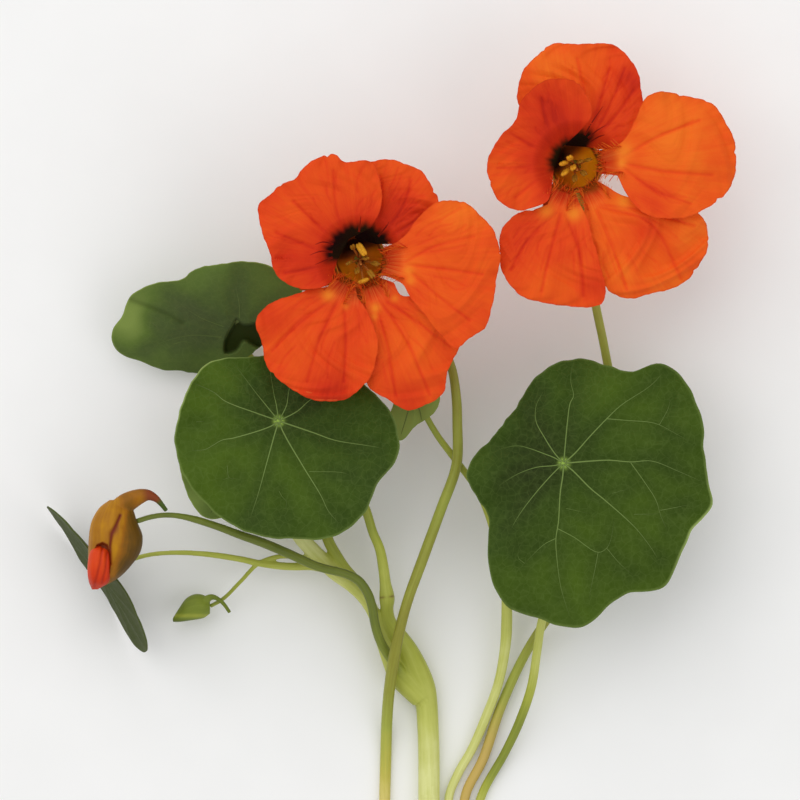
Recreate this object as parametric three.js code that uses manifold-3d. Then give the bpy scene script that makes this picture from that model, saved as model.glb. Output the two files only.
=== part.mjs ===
// A nasturtium bunch laid down on its back: two open blooms, two buds, six leaves and their
// stems. Millimetres, Z up; X runs to the right and Y towards the bloom end of the bunch.
import * as THREE from "three";
import Module from "manifold-3d";

const wasm = await Module();
wasm.setup();

// Driving dimensions of the whole bunch
const BUNCH_SHIFT = [2.5, 8.9, 0];
const LEAF_THICKNESS = 0.75;
const PETAL_THICKNESS = 0.7;
const STALK_SIDES = 8;
const FLAT_SIDE_DOWN = Math.PI / STALK_SIDES;
const CUP_SIDES = 16;
const BUD_SIDES = 14;
const STAMEN_SIDES = 6;
const FILAMENT_SIDES = 4;

// Colours and surface finish
const FINISH = {
  stem: { color: 0xa3a64a, roughness: 0.5 },
  stalk: { color: 0x8c963c, roughness: 0.5 },
  leaf: { color: 0x3b5220, roughness: 0.55 },
  leafPale: { color: 0x5a6638, roughness: 0.6 },
  petal: { color: 0xe24a18, roughness: 0.6 },
  calyx: { color: 0x96751e, roughness: 0.55 },
  stamen: { color: 0xd98a1c, roughness: 0.6 },
  budGreen: { color: 0x788c3c, roughness: 0.55 },
};

// Stems: each row is x, y, z of the centre line and the radius there
const SHOOT = {
  trunk: [
    [6.7, -98.9, 2.3, 2.5],
    [6.7, -82.8, 2.3, 2.5],
    [6.5, -76.0, 2.4, 2.5],
    [6.1, -70.2, 2.7, 2.6],
    [5.3, -67.0, 3.1, 3.0],
    [3.7, -63.0, 3.9, 3.1],
    [1.7, -58.3, 5.2, 2.6],
    [-0.7, -54.3, 6.8, 2.1],
    [-2.5, -51.4, 7.8, 1.7],
    [-3.0, -48.4, 8.8, 1.5],
    [-3.0, -45.9, 9.7, 1.8],
    [-3.4, -42.3, 11.2, 1.35],
    [-3.9, -38.3, 12.8, 1.25],
    [-4.7, -34.3, 14.4, 1.15],
    [-6.3, -30.4, 15.8, 1.1],
    [-8.0, -25.0, 17.6, 1.1],
    [-13.4, -15.2, 20.4, 1.1],
    [-20.7, -9.2, 22.2, 1.1],
    [-26.2, -5.9, 23.4, 1.0],
    [-27.6, -5.0, 24.9, 1.0],
  ],
  paleBranch: [
    [5.1, -68.8, 3.0, 2.9],
    [2.7, -66.3, 3.7, 3.1],
    [0.3, -63.8, 4.3, 3.1],
    [-1.9, -60.2, 5.2, 2.3],
    [-3.5, -56.8, 6.2, 1.8],
    [-4.9, -52.9, 7.2, 1.6],
    [-5.9, -49.7, 8.0, 1.5],
    [-8.0, -46.0, 8.6, 1.6],
    [-11.2, -42.6, 9.2, 1.8],
    [-15.1, -39.7, 9.8, 1.9],
    [-18.7, -36.2, 10.2, 1.8],
    [-21.4, -33.5, 10.5, 1.8],
    [-23.4, -31.0, 10.8, 1.8],
    [-26.7, -24.2, 11.4, 1.5],
    [-31.7, -17.2, 12.6, 1.2],
    [-36.6, -12.8, 14.2, 1.0],
    [-38.4, -11.6, 15.4, 0.9],
  ],
  oliveBranch: [
    [-8.3, -44.3, 8.6, 1.3],
    [-10.5, -41.5, 9.6, 1.3],
    [-12.9, -38.7, 10.2, 1.3],
    [-14.7, -35.9, 10.4, 1.3],
    [-16.2, -33.3, 10.4, 1.3],
    [-18.9, -26.0, 9.8, 1.2],
    [-23.9, -11.5, 7.6, 1.1],
    [-30.4, 2.3, 4.6, 1.0],
    [-36.8, 12.7, 4.4, 1.0],
    [-40.6, 16.6, 7.2, 0.9],
    [-41.9, 17.8, 11.2, 0.9],
  ],
  budPedicel: [
    [1.5, -64.5, 5.2, 1.4],
    [-2.0, -60.0, 8.6, 1.2],
    [-4.6, -55.6, 11.0, 1.1],
    [-5.8, -51.6, 12.8, 1.1],
    [-6.4, -47.8, 14.2, 1.1],
    [-7.5, -44.5, 15.2, 1.1],
    [-9.6, -41.6, 16.0, 1.1],
    [-12.4, -40.1, 16.7, 1.05],
    [-18.8, -38.4, 17.9, 1.05],
    [-26.2, -35.1, 19.2, 1.1],
    [-31.9, -32.7, 20.2, 1.1],
    [-36.8, -31.0, 21.0, 1.0],
    [-41.6, -29.2, 21.7, 0.9],
    [-46.5, -27.6, 22.4, 0.85],
    [-50.3, -26.7, 23.2, 0.7],
    [-53.6, -26.4, 24.0, 0.65],
    [-57.0, -26.8, 25.2, 0.65],
    [-59.4, -27.5, 26.0, 0.65],
  ],
  edgeLeafPetiole: [
    [-16.4, -39.0, 9.8, 1.2],
    [-20.6, -38.3, 9.8, 1.1],
    [-24.2, -38.5, 9.8, 0.95],
    [-28.2, -38.3, 9.8, 0.9],
    [-32.2, -37.8, 9.9, 0.8],
    [-36.8, -36.8, 10.0, 0.75],
    [-43.2, -35.8, 10.3, 0.7],
    [-49.7, -35.3, 10.6, 0.6],
    [-56.1, -35.5, 10.9, 0.55],
    [-60.5, -36.4, 11.0, 0.55],
    [-66.6, -39.0, 11.3, 0.55],
  ],
  smallBudPedicel: [
    [-20.2, -36.9, 10.4, 0.9],
    [-27.1, -36.1, 9.9, 0.6],
    [-32.4, -37.6, 9.6, 0.55],
    [-36.8, -41.9, 7.8, 0.5],
    [-40.9, -46.0, 5.9, 0.5],
    [-43.0, -47.4, 5.2, 0.5],
  ],
};

const BLOOM_LEFT_STALK = [
  [-3.7, -98.9, 1.1, 1.25],
  [-3.3, -82.8, 1.1, 1.3],
  [-3.0, -73.6, 3.8, 1.3],
  [-2.4, -66.5, 8.6, 1.3],
  [-1.4, -59.8, 12.4, 1.35],
  [-0.3, -54.1, 13.9, 1.25],
  [1.7, -46.5, 14.2, 1.2],
  [5.2, -36.8, 14.6, 1.25],
  [9.4, -25.3, 15.2, 1.2],
  [13.0, -15.0, 16.0, 1.2],
  [13.2, -5.4, 16.8, 1.15],
  [12.9, 1.2, 17.4, 1.1],
  [11.6, 8.3, 18.0, 1.0],
  [8.2, 14.3, 18.6, 1.0],
  [2.3, 17.9, 19.0, 1.0],
  [-2.8, 22.5, 18.8, 1.1],
  [-7.2, 29.4, 17.8, 1.2],
];

const BLOOM_RIGHT_STALK = [
  [14.1, -98.9, 0.95, 1.05],
  [15.4, -91.1, 1.0, 1.1],
  [19.3, -83.3, 1.1, 1.15],
  [23.1, -72.0, 1.8, 1.15],
  [28.1, -60.7, 3.2, 1.1],
  [33.0, -52.4, 4.4, 1.05],
  [41.4, -41.4, 5.6, 1.0],
  [47.6, -27.6, 7.0, 1.0],
  [50.0, -13.8, 8.5, 1.0],
  [49.3, 0.0, 10.5, 1.0],
  [47.2, 12.0, 12.8, 1.0],
  [45.0, 22.5, 14.8, 1.0],
  [43.4, 32.2, 15.6, 1.0],
  [42.1, 42.6, 16.0, 1.05],
  [41.0, 50.6, 15.8, 1.2],
];

const SMALL_LEAF_STALK = [
  [11.4, -98.9, 0.9, 1.0],
  [11.4, -92.0, 0.9, 1.0],
  [13.6, -86.5, 1.1, 1.05],
  [16.7, -81.0, 1.6, 1.05],
  [19.9, -73.6, 2.6, 1.1],
  [22.7, -66.0, 3.8, 1.1],
  [24.2, -58.5, 5.0, 1.2],
  [24.7, -52.0, 6.0, 1.3],
  [24.4, -43.0, 7.4, 1.1],
  [22.0, -31.5, 9.0, 0.9],
  [18.3, -21.6, 10.6, 0.8],
  [11.9, -12.6, 13.0, 0.8],
  [8.7, -8.3, 14.5, 0.75],
  [5.2, -2.4, 16.6, 0.7],
  [3.6, 0.0, 18.8, 0.7],
];

const RIGHT_LEAF_STALK = [
  [16.8, -98.9, 0.9, 1.0],
  [19.3, -90.9, 1.0, 1.0],
  [24.2, -82.1, 2.2, 1.0],
  [27.6, -74.8, 4.2, 1.05],
  [30.4, -66.5, 6.2, 1.05],
  [31.8, -57.5, 8.0, 1.0],
  [32.8, -51.1, 9.4, 1.0],
  [34.5, -46.0, 10.6, 0.95],
  [36.1, -34.5, 13.6, 0.95],
  [37.6, -23.0, 18.4, 0.95],
  [37.6, -17.5, 22.4, 0.95],
  [37.5, -15.2, 25.4, 0.95],
];

// Leaves: a blade about its petiole, as angle in degrees and radius to the edge, seen from above.
// slope is the rise along X and Y, dish the lift of the edge, wave the height of its ripples.
const LEAVES = {
  leaf_front_left: {
    finish: "leaf",
    centre: [-27.8, -4.8, 26.8],
    slope: [0.05, -0.1],
    dish: 1.2,
    wave: { height: 0.9, count: 7, turn: 20 },
    rings: 4,
    sectors: 40,
    edge: [
      [6, 25.4], [19, 22.1], [48, 17.5], [85, 15.5], [108, 15.6], [122, 17.2],
      [141, 21.0], [161, 22.1], [177, 23.0], [189, 24.2], [212, 25.1], [226, 25.2],
      [241, 25.9], [262, 26.7], [280, 27.4], [291, 29.0], [304, 29.4], [313, 28.8],
      [329, 26.8], [339, 28.2], [349, 28.2],
    ],
  },
  leaf_front_right: {
    finish: "leaf",
    centre: [37.5, -14.5, 27.6],
    slope: [-0.04, -0.06],
    dish: -1.4,
    wave: { height: 1.2, count: 8, turn: 0 },
    rings: 4,
    sectors: 46,
    edge: [
      [5, 32.4], [16, 33.3], [32, 33.7], [41, 33.3], [47, 31.2], [53, 26.4], [64, 24.7],
      [79, 24.4], [90, 23.5], [99, 22.3], [110, 20.3], [128, 17.0], [146, 16.6],
      [162, 17.6], [182, 21.9], [191, 22.3], [205, 21.1], [218, 21.6], [229, 26.6],
      [246, 34.6], [262, 36.2], [276, 37.8], [287, 34.4], [297, 33.3], [308, 36.5],
      [320, 34.5], [332, 33.2], [344, 35.4], [354, 33.4],
    ],
  },
  leaf_back_left: {
    finish: "leafPale",
    centre: [-42.6, 17.9, 14.2],
    slope: [0.1, 0.8],
    dish: 1.0,
    wave: { height: 0.8, count: 5, turn: 60 },
    rings: 4,
    sectors: 36,
    edge: [
      [6, 17.4], [20, 21.4], [28, 20.0], [42, 18.6], [60, 16.0], [83, 13.4],
      [110, 12.9], [130, 12.6], [146, 16.1], [155, 18.5], [164, 20.5], [177, 21.7],
      [184, 23.9], [192, 24.3], [200, 22.6], [207, 19.6], [221, 16.6], [234, 13.8],
      [270, 11.5], [302, 10.8], [334, 12.0],
    ],
  },
  leaf_under_left: {
    finish: "leafPale",
    centre: [-38.6, -11.5, 17.4],
    slope: [-0.05, -0.04],
    dish: -0.8,
    wave: { height: 0.6, count: 6, turn: 0 },
    rings: 3,
    sectors: 24,
    edge: [
      [0, 13.0], [60, 12.5], [120, 12.0], [170, 12.0], [206, 13.1], [221, 14.2],
      [237, 15.9], [250, 16.8], [270, 15.0], [310, 13.5],
    ],
  },
  leaf_small: {
    finish: "leafPale",
    centre: [2.8, 0.9, 20.6],
    slope: [-0.04, -0.1],
    dish: 0.5,
    wave: { height: 0.4, count: 5, turn: 0 },
    rings: 3,
    sectors: 24,
    edge: [
      [30, 6.5], [90, 6.6], [150, 5.6], [190, 4.6], [210, 5.3], [234, 9.6], [255, 10.6], [272, 7.4],
      [292, 6.3], [333, 6.4],
    ],
  },
};

// The leaf that stands on its edge: an oval blade, leaning and slightly twisted
const EDGE_LEAF = {
  centre: [-70.3, -41.5, 10.7],
  axis: -55.8,
  halfLength: 20.3,
  halfHeight: 11.1,
  lean: { upper: 6, lower: 18 },
  bow: 1.5,
  twist: { height: 0.4, turn: 5 },
  rings: 4,
  sectors: 32,
};

// A bloom's surface round its throat: a funnel that flares out flat, then droops at the rim
const THROAT = { inner: 3, outer: 10.5, depth: 10, rise: 0.22, droop: 0.011 };
const RUFFLE = { height: 0.55, start: 9, width: 18, count: 9, second: { share: 0.5, count: 17 } };
const HOOD_WIDTH = 10;

// Rings of a petal's mesh, as shares of the way from its middle to its edge; the middle lies
// this share of the way from the middle of its area to the root of its claw.
const PETAL_RINGS = [0.3, 0.55, 0.8, 1];
const RIM_STEPS = 2;
const PULL_TO_CLAW = 0.2;

// Petals: outline from one side of the claw round the rim to the other, from the throat's
// centre; claw is the angle, radius and half width of its root; lift sets the layers apart
// and hood raises the rim of a petal that curls up.
const BLOOMS = {
  bloom_left: {
    centre: [-9.2, 32.2, 36],
    up: 115,
    petals: {
      upper_right: {
        claw: [74, 4.4, 2.6],
        lift: 0,
        hood: 0,
        outline: [
          [0, 7], [-1.5, 12.5], [-1.5, 18.5], [0.5, 21.5], [4, 22.5], [8, 22.5], [11, 21.5],
          [14, 20], [16, 17.5], [17.7, 14], [18, 11], [16, 7], [12, 4], [7.5, 3.4],
        ],
      },
      upper_left: {
        claw: [152, 4.4, 2.8],
        lift: 3.7,
        hood: 0,
        outline: [
          [-6.4, -5.2], [-8.8, -6.6], [-13.4, -6.8], [-17.2, -5.4], [-19.5, -2.5], [-20.7, 2],
          [-22.9, 8.5], [-22.8, 12.5], [-20.5, 14.6], [-18, 16.8], [-15, 18], [-13, 20.5],
          [-9, 23.2], [-6, 23.9], [-3.5, 22], [0.5, 22.4], [3.2, 21.6], [4.8, 17],
          [4.8, 11.5], [2.6, 7.2],
        ],
      },
      right: {
        claw: [355, 5.2, 3.1],
        lift: 2.4,
        hood: 0,
        outline: [
          [8.6, 3.8], [10.8, 5.8], [13.4, 9.5], [18, 13], [21, 13.4], [24.5, 12.5], [28, 9.5],
          [31, 5.5], [32, 0.5], [31, -6], [30.1, -11.5], [28.5, -15.7], [24.5, -18.6],
          [22, -20.5], [18.5, -17.5], [14.5, -12.5], [11.2, -8.2], [9.9, -5.9], [7.6, -4.5],
        ],
      },
      lower_middle: {
        claw: [292, 5.2, 2.3],
        lift: 0,
        hood: 0,
        outline: [
          [0.6, -9.0], [0.4, -16], [0, -22.5], [2, -29], [6.5, -32.2], [11.5, -34.6],
          [14.6, -33.5], [19.3, -30.4], [19.9, -26], [22.4, -21], [23, -17], [20, -12.5],
          [13.4, -8.8], [9.4, -8.2], [7.8, -5.4],
        ],
      },
      lower_left: {
        claw: [236, 5.2, 2.1],
        lift: 1.8,
        hood: 0,
        outline: [
          [-7.2, -6.4], [-10.5, -6.8], [-16, -8.5], [-21.6, -11], [-23.6, -14.5], [-22.1, -20],
          [-21, -25], [-17.5, -28.2], [-13.5, -31], [-7.5, -32.6], [-2.5, -31.6],
          [1.5, -28.2], [3.7, -23.5], [4, -18], [2, -12.5], [-0.6, -8.6],
        ],
      },
    },
    spur: [
      [3.5, -13.2, 3.2], [5, -16, 2.8], [7.5, -20.5, 2.1], [9.5, -25.5, 1.6],
      [10.6, -31, 1.2], [10.8, -36.2, 0.9],
    ],
    sepals: [75, 115, 205, 262, 358],
    anthers: [
      [-1.6, 2.8, -4.6], [0.4, 2.2, -3.8], [1.4, 0.2, -4.4], [2.6, -3.4, -3.6],
      [0.8, -5.0, -4.8], [-0.6, -2.6, -6.0], [3.6, -1.0, -5.4], [-2.4, -0.8, -6.4],
    ],
  },
  bloom_right: {
    centre: [40.25, 53.8, 34],
    up: 123,
    petals: {
      top: {
        claw: [86, 4.4, 2.6],
        lift: 0,
        hood: 0,
        outline: [
          [-2.6, 6.8], [-8, 9], [-12, 11.5], [-13.5, 15.5], [-12.5, 20.5], [-9.5, 24.5],
          [-5, 27.6], [1, 27.4], [7.5, 27.6], [11.6, 25], [14, 21], [15.1, 15.5],
          [15.4, 11], [13, 6.5], [9.4, 3.8], [5.4, 3.6],
        ],
      },
      left: {
        claw: [160, 4.4, 2.6],
        lift: 3.7,
        hood: 2.6,
        outline: [
          [-5.6, -5.4], [-6.6, -8.4], [-10.2, -10.0], [-14, -10.6], [-17.5, -8.6],
          [-20, -4], [-20.1, 1.5], [-17.5, 6], [-14, 10], [-12.5, 14.5], [-10, 17.2],
          [-5.5, 19.4], [0, 18.5], [3, 14.5], [3.4, 11], [0.6, 7.4],
        ],
      },
      right: {
        claw: [6, 5.2, 2.5],
        lift: 2.4,
        hood: 0,
        outline: [
          [8.8, 3.9], [10.9, 5.6], [13.4, 10], [15.7, 15], [20, 16.6], [25, 15.5],
          [30, 14.5], [33, 11.5], [36, 5.5], [36.5, 0], [35, -5.7], [32, -8.5], [28, -11],
          [22, -12.5], [15, -11], [11.2, -6.4], [9.4, -2.6],
        ],
      },
      lower_right: {
        claw: [300, 5.2, 2.3],
        lift: 0,
        hood: 0,
        outline: [
          [1.8, -8.6], [2.0, -13.5], [3, -19.5], [4.5, -25], [7.5, -29.1], [13, -30.6],
          [18, -29.2], [23, -28], [27.1, -24.5], [30, -19], [29.7, -13.5], [26.5, -10.4],
          [20.5, -9], [14, -8.0], [9.6, -6.6], [7.2, -5.0],
        ],
      },
      lower_left: {
        claw: [244, 5.2, 2.1],
        lift: 1.8,
        hood: 0,
        outline: [
          [-6.6, -9.2], [-9.4, -10.2], [-14, -11.5], [-17, -15], [-17.6, -20.5], [-16, -26.5],
          [-11.5, -30.6], [-6, -31.8], [0.5, -32.6], [6, -31.7], [6.5, -27], [5, -21.5],
          [3.5, -16], [2.4, -12.2], [0.8, -9.0],
        ],
      },
    },
    spur: [
      [3.5, -13.2, 3.2], [5, -16, 2.8], [7.3, -20.5, 2.1], [9.3, -25.5, 1.6],
      [10.4, -30.5, 1.2], [10.6, -34.2, 1.0],
    ],
    sepals: [83, 123, 163, 240, 10],
    anthers: [
      [-2.8, 0.4, -4.4], [-1.4, 1.6, -3.8], [-0.6, -0.6, -4.6], [-2.4, -1.6, -5.4],
      [1.0, 0.8, -5.0], [1.8, -1.8, -5.8], [-0.2, -3.0, -6.4], [2.8, 1.2, -6.0],
    ],
  },
};

// The calyx cup below the throat: radius and height from the bloom's centre, outside and inside.
// The spur opens into it through a mouth.
const CUP_OUTSIDE = [
  [2.4, -16.2],
  [4.4, -14.6],
  [5.6, -12.4],
  [6.2, -10],
];
const CUP_INSIDE = [
  [2.6, -14.4],
  [4.5, -12.2],
  [5.3, -9.8],
  [5.3, -8],
];
const SPUR_WALL = 0.9;
const MOUTH_ROWS = 3;
const SEPAL = {
  root: 4.9,
  length: 10.5,
  halfWidth: 2.5,
  taper: 0.94,
  bluntness: 2.2,
  keel: 0.5,
  below: 3.4,
  thickness: 0.7,
  rows: 5,
};

// Ovary, style and stamens: filaments lean out from the ovary's top to their anthers
const OVARY = { radius: 1.3, base: -14, top: -10.4, shoulder: 1, endShare: 0.65 };
const FILAMENT = { radius: 0.35, rootShare: 0.15, bendShare: 0.45 };
const ANTHER = { radius: 0.7, halfLength: 1.1, endShare: 0.6 };
const STYLE_TOP = [0.3, -1.2, -3.0];

// Buds: slices across the body, as position along it, near side and far side
const LARGE_BUD = {
  middle: 27,
  halfDepth: 0.95,
  slices: [
    [-22.9, -66.6, -63.6],
    [-24.8, -69.0, -61.3],
    [-27.8, -70.7, -60.2],
    [-31.2, -71.3, -58.9],
    [-34.8, -71.5, -59.4],
    [-38.0, -71.5, -61.6],
    [-40.6, -71.4, -64.2],
    [-42.6, -70.9, -67.6],
  ],
  petalSlices: [
    [-32.6, -69.6, -67.4],
    [-34.4, -70.9, -66.2],
    [-37.0, -71.5, -65.9],
    [-39.6, -71.6, -66.1],
    [-41.6, -71.3, -66.6],
    [-43.4, -70.6, -69.2],
  ],
  petalHalfDepth: 1.9,
  clearance: 0.5,
  spur: [
    [-64.9, -25.6, 27.4, 2.5],
    [-62.8, -23.7, 27.9, 2.35],
    [-60.4, -22.4, 28.5, 1.95],
    [-58.9, -21.9, 28.9, 1.6],
    [-57.6, -21.8, 29.0, 1.25],
    [-56.0, -22.5, 29.0, 0.85],
    [-54.7, -23.8, 28.8, 0.6],
    [-53.5, -25.4, 28.4, 0.5],
  ],
};
const SMALL_BUD = {
  middle: 6,
  halfDepth: 0.95,
  slices: [
    [-52.6, -51.4, -50.5],
    [-51.0, -51.4, -47.9],
    [-49.5, -51.2, -45.9],
    [-47.5, -50.9, -44.9],
    [-45.5, -50.5, -45.1],
    [-44.0, -49.5, -46.3],
  ],
  spur: [
    [-45.4, -46.6, 7.0, 1.1],
    [-43.6, -45.6, 7.4, 0.7],
    [-42.2, -46.0, 7.5, 0.5],
    [-40.8, -47.2, 7.5, 0.45],
    [-39.4, -49.2, 7.3, 0.4],
  ],
};

// Small maths helpers
const radians = (degrees) => (degrees * Math.PI) / 180;
const smooth = (t) => t * t * (3 - 2 * t);
const clamp01 = (t) => Math.min(1, Math.max(0, t));
const vec = (x, y, z) => new THREE.Vector3(x, y, z);

// Level direction at an angle in degrees, and the one across it
function directions(angle) {
  const along = vec(Math.cos(radians(angle)), Math.sin(radians(angle)), 0);
  return { along, across: vec(-along.y, along.x, 0) };
}

// A closed surface from points and triangles, turned so that it faces out.
function closed(points, faces) {
  let volume = 0;
  for (const [a, b, c] of faces) {
    volume += points[a].dot(vec(0, 0, 0).crossVectors(points[b], points[c]));
  }
  const outward = volume > 0 ? faces : faces.map(([a, b, c]) => [a, c, b]);
  return new THREE.BufferGeometry().setFromPoints(points).setIndex(outward.flat());
}

// A solid sheet: the same triangles on the face and on its copy moved by the back offset,
// with walls along every open edge.
function sheet(points, faces, backOffset) {
  const count = points.length;
  const back = points.map((p, i) => p.clone().add(backOffset(p, i)));
  const open = new Map();
  for (const face of faces) {
    face.forEach((a, k) => {
      const b = face[(k + 1) % 3];
      if (!open.delete(b + "," + a)) open.set(a + "," + b, [a, b]);
    });
  }
  const walls = [...open.values()].flatMap(([a, b]) => [
    [b, a, a + count],
    [b, a + count, b + count],
  ]);
  const backFaces = faces.map(([a, b, c]) => [c + count, b + count, a + count]);
  return closed([...points, ...back], [...faces, ...backFaces, ...walls]);
}

// A sheet over rows of points that run side by side
function rowSheet(rows, backOffset) {
  const columns = rows[0].length;
  const faces = [];
  for (let row = 0; row + 1 < rows.length; row++) {
    for (let k = 0; k + 1 < columns; k++) {
      const a = row * columns + k;
      const b = a + columns;
      faces.push([a, b, b + 1], [a, b + 1, a + 1]);
    }
  }
  return sheet(rows.flat(), faces, backOffset);
}

// A sheet over a middle point and rings of sectors round it; place gives the point at a share
// of the way to the edge, in a sector.
function discSheet(shares, sectors, place, backOffset) {
  const points = [place(0, 0)];
  for (const share of shares) {
    for (let k = 0; k < sectors; k++) points.push(place(share, k));
  }
  const faces = [];
  for (let k = 0; k < sectors; k++) {
    const next = (k + 1) % sectors;
    faces.push([0, 1 + k, 1 + next]);
    for (let r = 1; r < shares.length; r++) {
      const a = 1 + (r - 1) * sectors;
      const b = a + sectors;
      faces.push([a + k, b + k, b + next], [a + k, b + next, a + next]);
    }
  }
  return sheet(points, faces, backOffset);
}

// Shares of the way for a number of evenly spaced rings
const evenly = (count) => Array.from({ length: count }, (_, ring) => (ring + 1) / count);

// A solid skinned over rings of equal point count, closed by a fan at each end.
function skin(rings) {
  const sides = rings[0].length;
  const points = rings.flat();
  const faces = [];
  for (let r = 0; r + 1 < rings.length; r++) {
    for (let k = 0; k < sides; k++) {
      const a = r * sides + k;
      const b = r * sides + ((k + 1) % sides);
      faces.push([a, b, b + sides], [a, b + sides, a + sides]);
    }
  }
  for (const [ring, turned] of [[0, true], [rings.length - 1, false]]) {
    const middle = vec(0, 0, 0);
    rings[ring].forEach((p) => middle.addScaledVector(p, 1 / sides));
    const m = points.push(middle) - 1;
    for (let k = 0; k < sides; k++) {
      const a = ring * sides + k;
      const b = ring * sides + ((k + 1) % sides);
      faces.push(turned ? [b, a, m] : [a, b, m]);
    }
  }
  return closed(points, faces);
}

// A round stalk along rows of x, y, z, radius; side is an axis it never runs along.
function stalk(rows, side = vec(0, 0, 1)) {
  const curve = new THREE.CatmullRomCurve3(rows.map(([x, y, z]) => vec(x, y, z)));
  return skin(
    rows.map(([x, y, z, radius], i) => {
      const along = curve.getTangent(i / (rows.length - 1));
      const across = vec(0, 0, 0).crossVectors(along, side).normalize();
      const over = vec(0, 0, 0).crossVectors(across, along);
      across.multiplyScalar(radius);
      over.multiplyScalar(radius);
      return ovalRing(vec(x, y, z), across, over, STALK_SIDES, FLAT_SIDE_DOWN);
    }),
  );
}

// A ring of points round a centre, from its two half widths and the turn of its first point.
function ovalRing(centre, first, second, sides, turn = 0) {
  const ring = [];
  for (let k = 0; k < sides; k++) {
    const angle = (k / sides) * 2 * Math.PI + turn;
    const point = centre.clone().addScaledVector(first, Math.cos(angle));
    ring.push(point.addScaledVector(second, Math.sin(angle)));
  }
  return ring;
}

// A level round ring
function levelRing(centre, radius, sides) {
  return ovalRing(centre, vec(radius, 0, 0), vec(0, radius, 0), sides);
}

// Solids for joining and cutting
function solid(geometry) {
  return new wasm.Manifold(
    new wasm.Mesh({
      numProp: 3,
      vertProperties: new Float32Array(geometry.attributes.position.array),
      triVerts: new Uint32Array(geometry.index.array),
    }),
  );
}

function surface(body) {
  const mesh = body.getMesh();
  return new THREE.BufferGeometry()
    .setAttribute("position", new THREE.BufferAttribute(mesh.vertProperties, 3))
    .setIndex(new THREE.BufferAttribute(mesh.triVerts, 1));
}

const join = (geometries) => wasm.Manifold.union(geometries.map(solid));

// The bunch as a group of named meshes, each cut flat where it rests on the ground
const bunch = new THREE.Group();
bunch.name = "nasturtium_bunch";

function add(name, finish, body) {
  const resting = body.trimByPlane([0, 0, 1], 0);
  const material = new THREE.MeshStandardMaterial({ ...FINISH[finish], metalness: 0 });
  const mesh = new THREE.Mesh(surface(resting), material);
  mesh.name = name;
  mesh.position.set(...BUNCH_SHIFT);
  bunch.add(mesh);
}

// Radius of a leaf's edge at an angle, on a smooth closed curve through the measured points.
function edgeRadius(edge, angle) {
  const n = edge.length;
  const turn = ((angle % 360) + 360) % 360;
  let i = edge.findIndex((point) => point[0] > turn);
  if (i < 0) i = 0;
  const at = (k) => {
    const wrapped = ((k % n) + n) % n;
    return { angle: edge[wrapped][0] + 360 * Math.floor(k / n), radius: edge[wrapped][1] };
  };
  const upper = turn >= edge[n - 1][0] ? n : i;
  const [p0, p1, p2, p3] = [at(upper - 2), at(upper - 1), at(upper), at(upper + 1)];
  const t = (turn - p1.angle) / (p2.angle - p1.angle);
  const slope1 = ((p2.radius - p0.radius) / (p2.angle - p0.angle)) * (p2.angle - p1.angle);
  const slope2 = ((p3.radius - p1.radius) / (p3.angle - p1.angle)) * (p2.angle - p1.angle);
  const rise = p2.radius - p1.radius;
  const cubic = slope1 + slope2 - 2 * rise;
  return p1.radius + t * (slope1 + t * (3 * rise - 2 * slope1 - slope2 + t * cubic));
}

function leaf(spec) {
  const [cx, cy, cz] = spec.centre;
  const [slopeX, slopeY] = spec.slope;
  const { height, count, turn } = spec.wave;
  const drop = -LEAF_THICKNESS * Math.hypot(1, slopeX, slopeY);
  const place = (share, sector) => {
    const angle = (sector / spec.sectors) * 360;
    const radius = share * edgeRadius(spec.edge, angle);
    const x = radius * Math.cos(radians(angle));
    const y = radius * Math.sin(radians(angle));
    const ripple = height * share ** 3 * Math.sin(radians(count * angle + turn));
    const z = slopeX * x + slopeY * y + spec.dish * share * share + ripple;
    return vec(cx + x, cy + y, cz + z);
  };
  return discSheet(evenly(spec.rings), spec.sectors, place, () => vec(0, 0, drop));
}

function edgeLeaf() {
  const { centre, axis, halfLength, halfHeight, lean, bow, twist, rings, sectors } = EDGE_LEAF;
  const { along, across } = directions(axis);
  const middleLean = radians((lean.upper + lean.lower) / 2);
  const back = across.clone().multiplyScalar(Math.cos(middleLean) * LEAF_THICKNESS);
  back.z = -Math.sin(middleLean) * LEAF_THICKNESS;
  const place = (share, sector) => {
    const turn = (sector / sectors) * 2 * Math.PI;
    const a = share * Math.cos(turn);
    const b = share * Math.sin(turn);
    const tilt = radians(THREE.MathUtils.lerp(lean.upper, lean.lower, (a + 1) / 2));
    const bulge = bow * (1 - a * a) + twist.height * b * b * Math.sin(twist.turn * a);
    const point = vec(...centre).addScaledVector(along, a * halfLength);
    point.addScaledVector(across, b * halfHeight * Math.sin(tilt) + bulge);
    point.z += b * halfHeight * Math.cos(tilt);
    return point;
  };
  return discSheet(evenly(rings), sectors, place, () => back);
}

// Height and steepness of a bloom's surface at a distance from its centre
function throatHeight(radius) {
  const { inner, outer, depth, rise, droop } = THROAT;
  const part = clamp01((radius - inner) / (outer - inner));
  const beyond = Math.max(0, radius - outer);
  return depth * (smooth(part) - 1) + rise * beyond - droop * beyond * beyond;
}

function throatSlope(radius) {
  const step = 0.1;
  return (throatHeight(radius + step) - throatHeight(radius - step)) / (2 * step);
}

function ruffle(radius, angle) {
  const { height, start, width, count, second } = RUFFLE;
  const out = clamp01((radius - start) / width) ** 2;
  const finer = second.share * Math.sin(second.count * angle + 1);
  return height * out * (Math.sin(count * angle) + finer);
}

// Drop of a blade's back that keeps its thickness where the bloom's surface is steep
function backDrop(bloom, thickness) {
  const [cx, cy] = bloom.centre;
  return (p) => {
    const steepness = throatSlope(Math.hypot(p.x - cx, p.y - cy));
    return vec(0, 0, -thickness * Math.hypot(1, steepness));
  };
}

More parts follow.
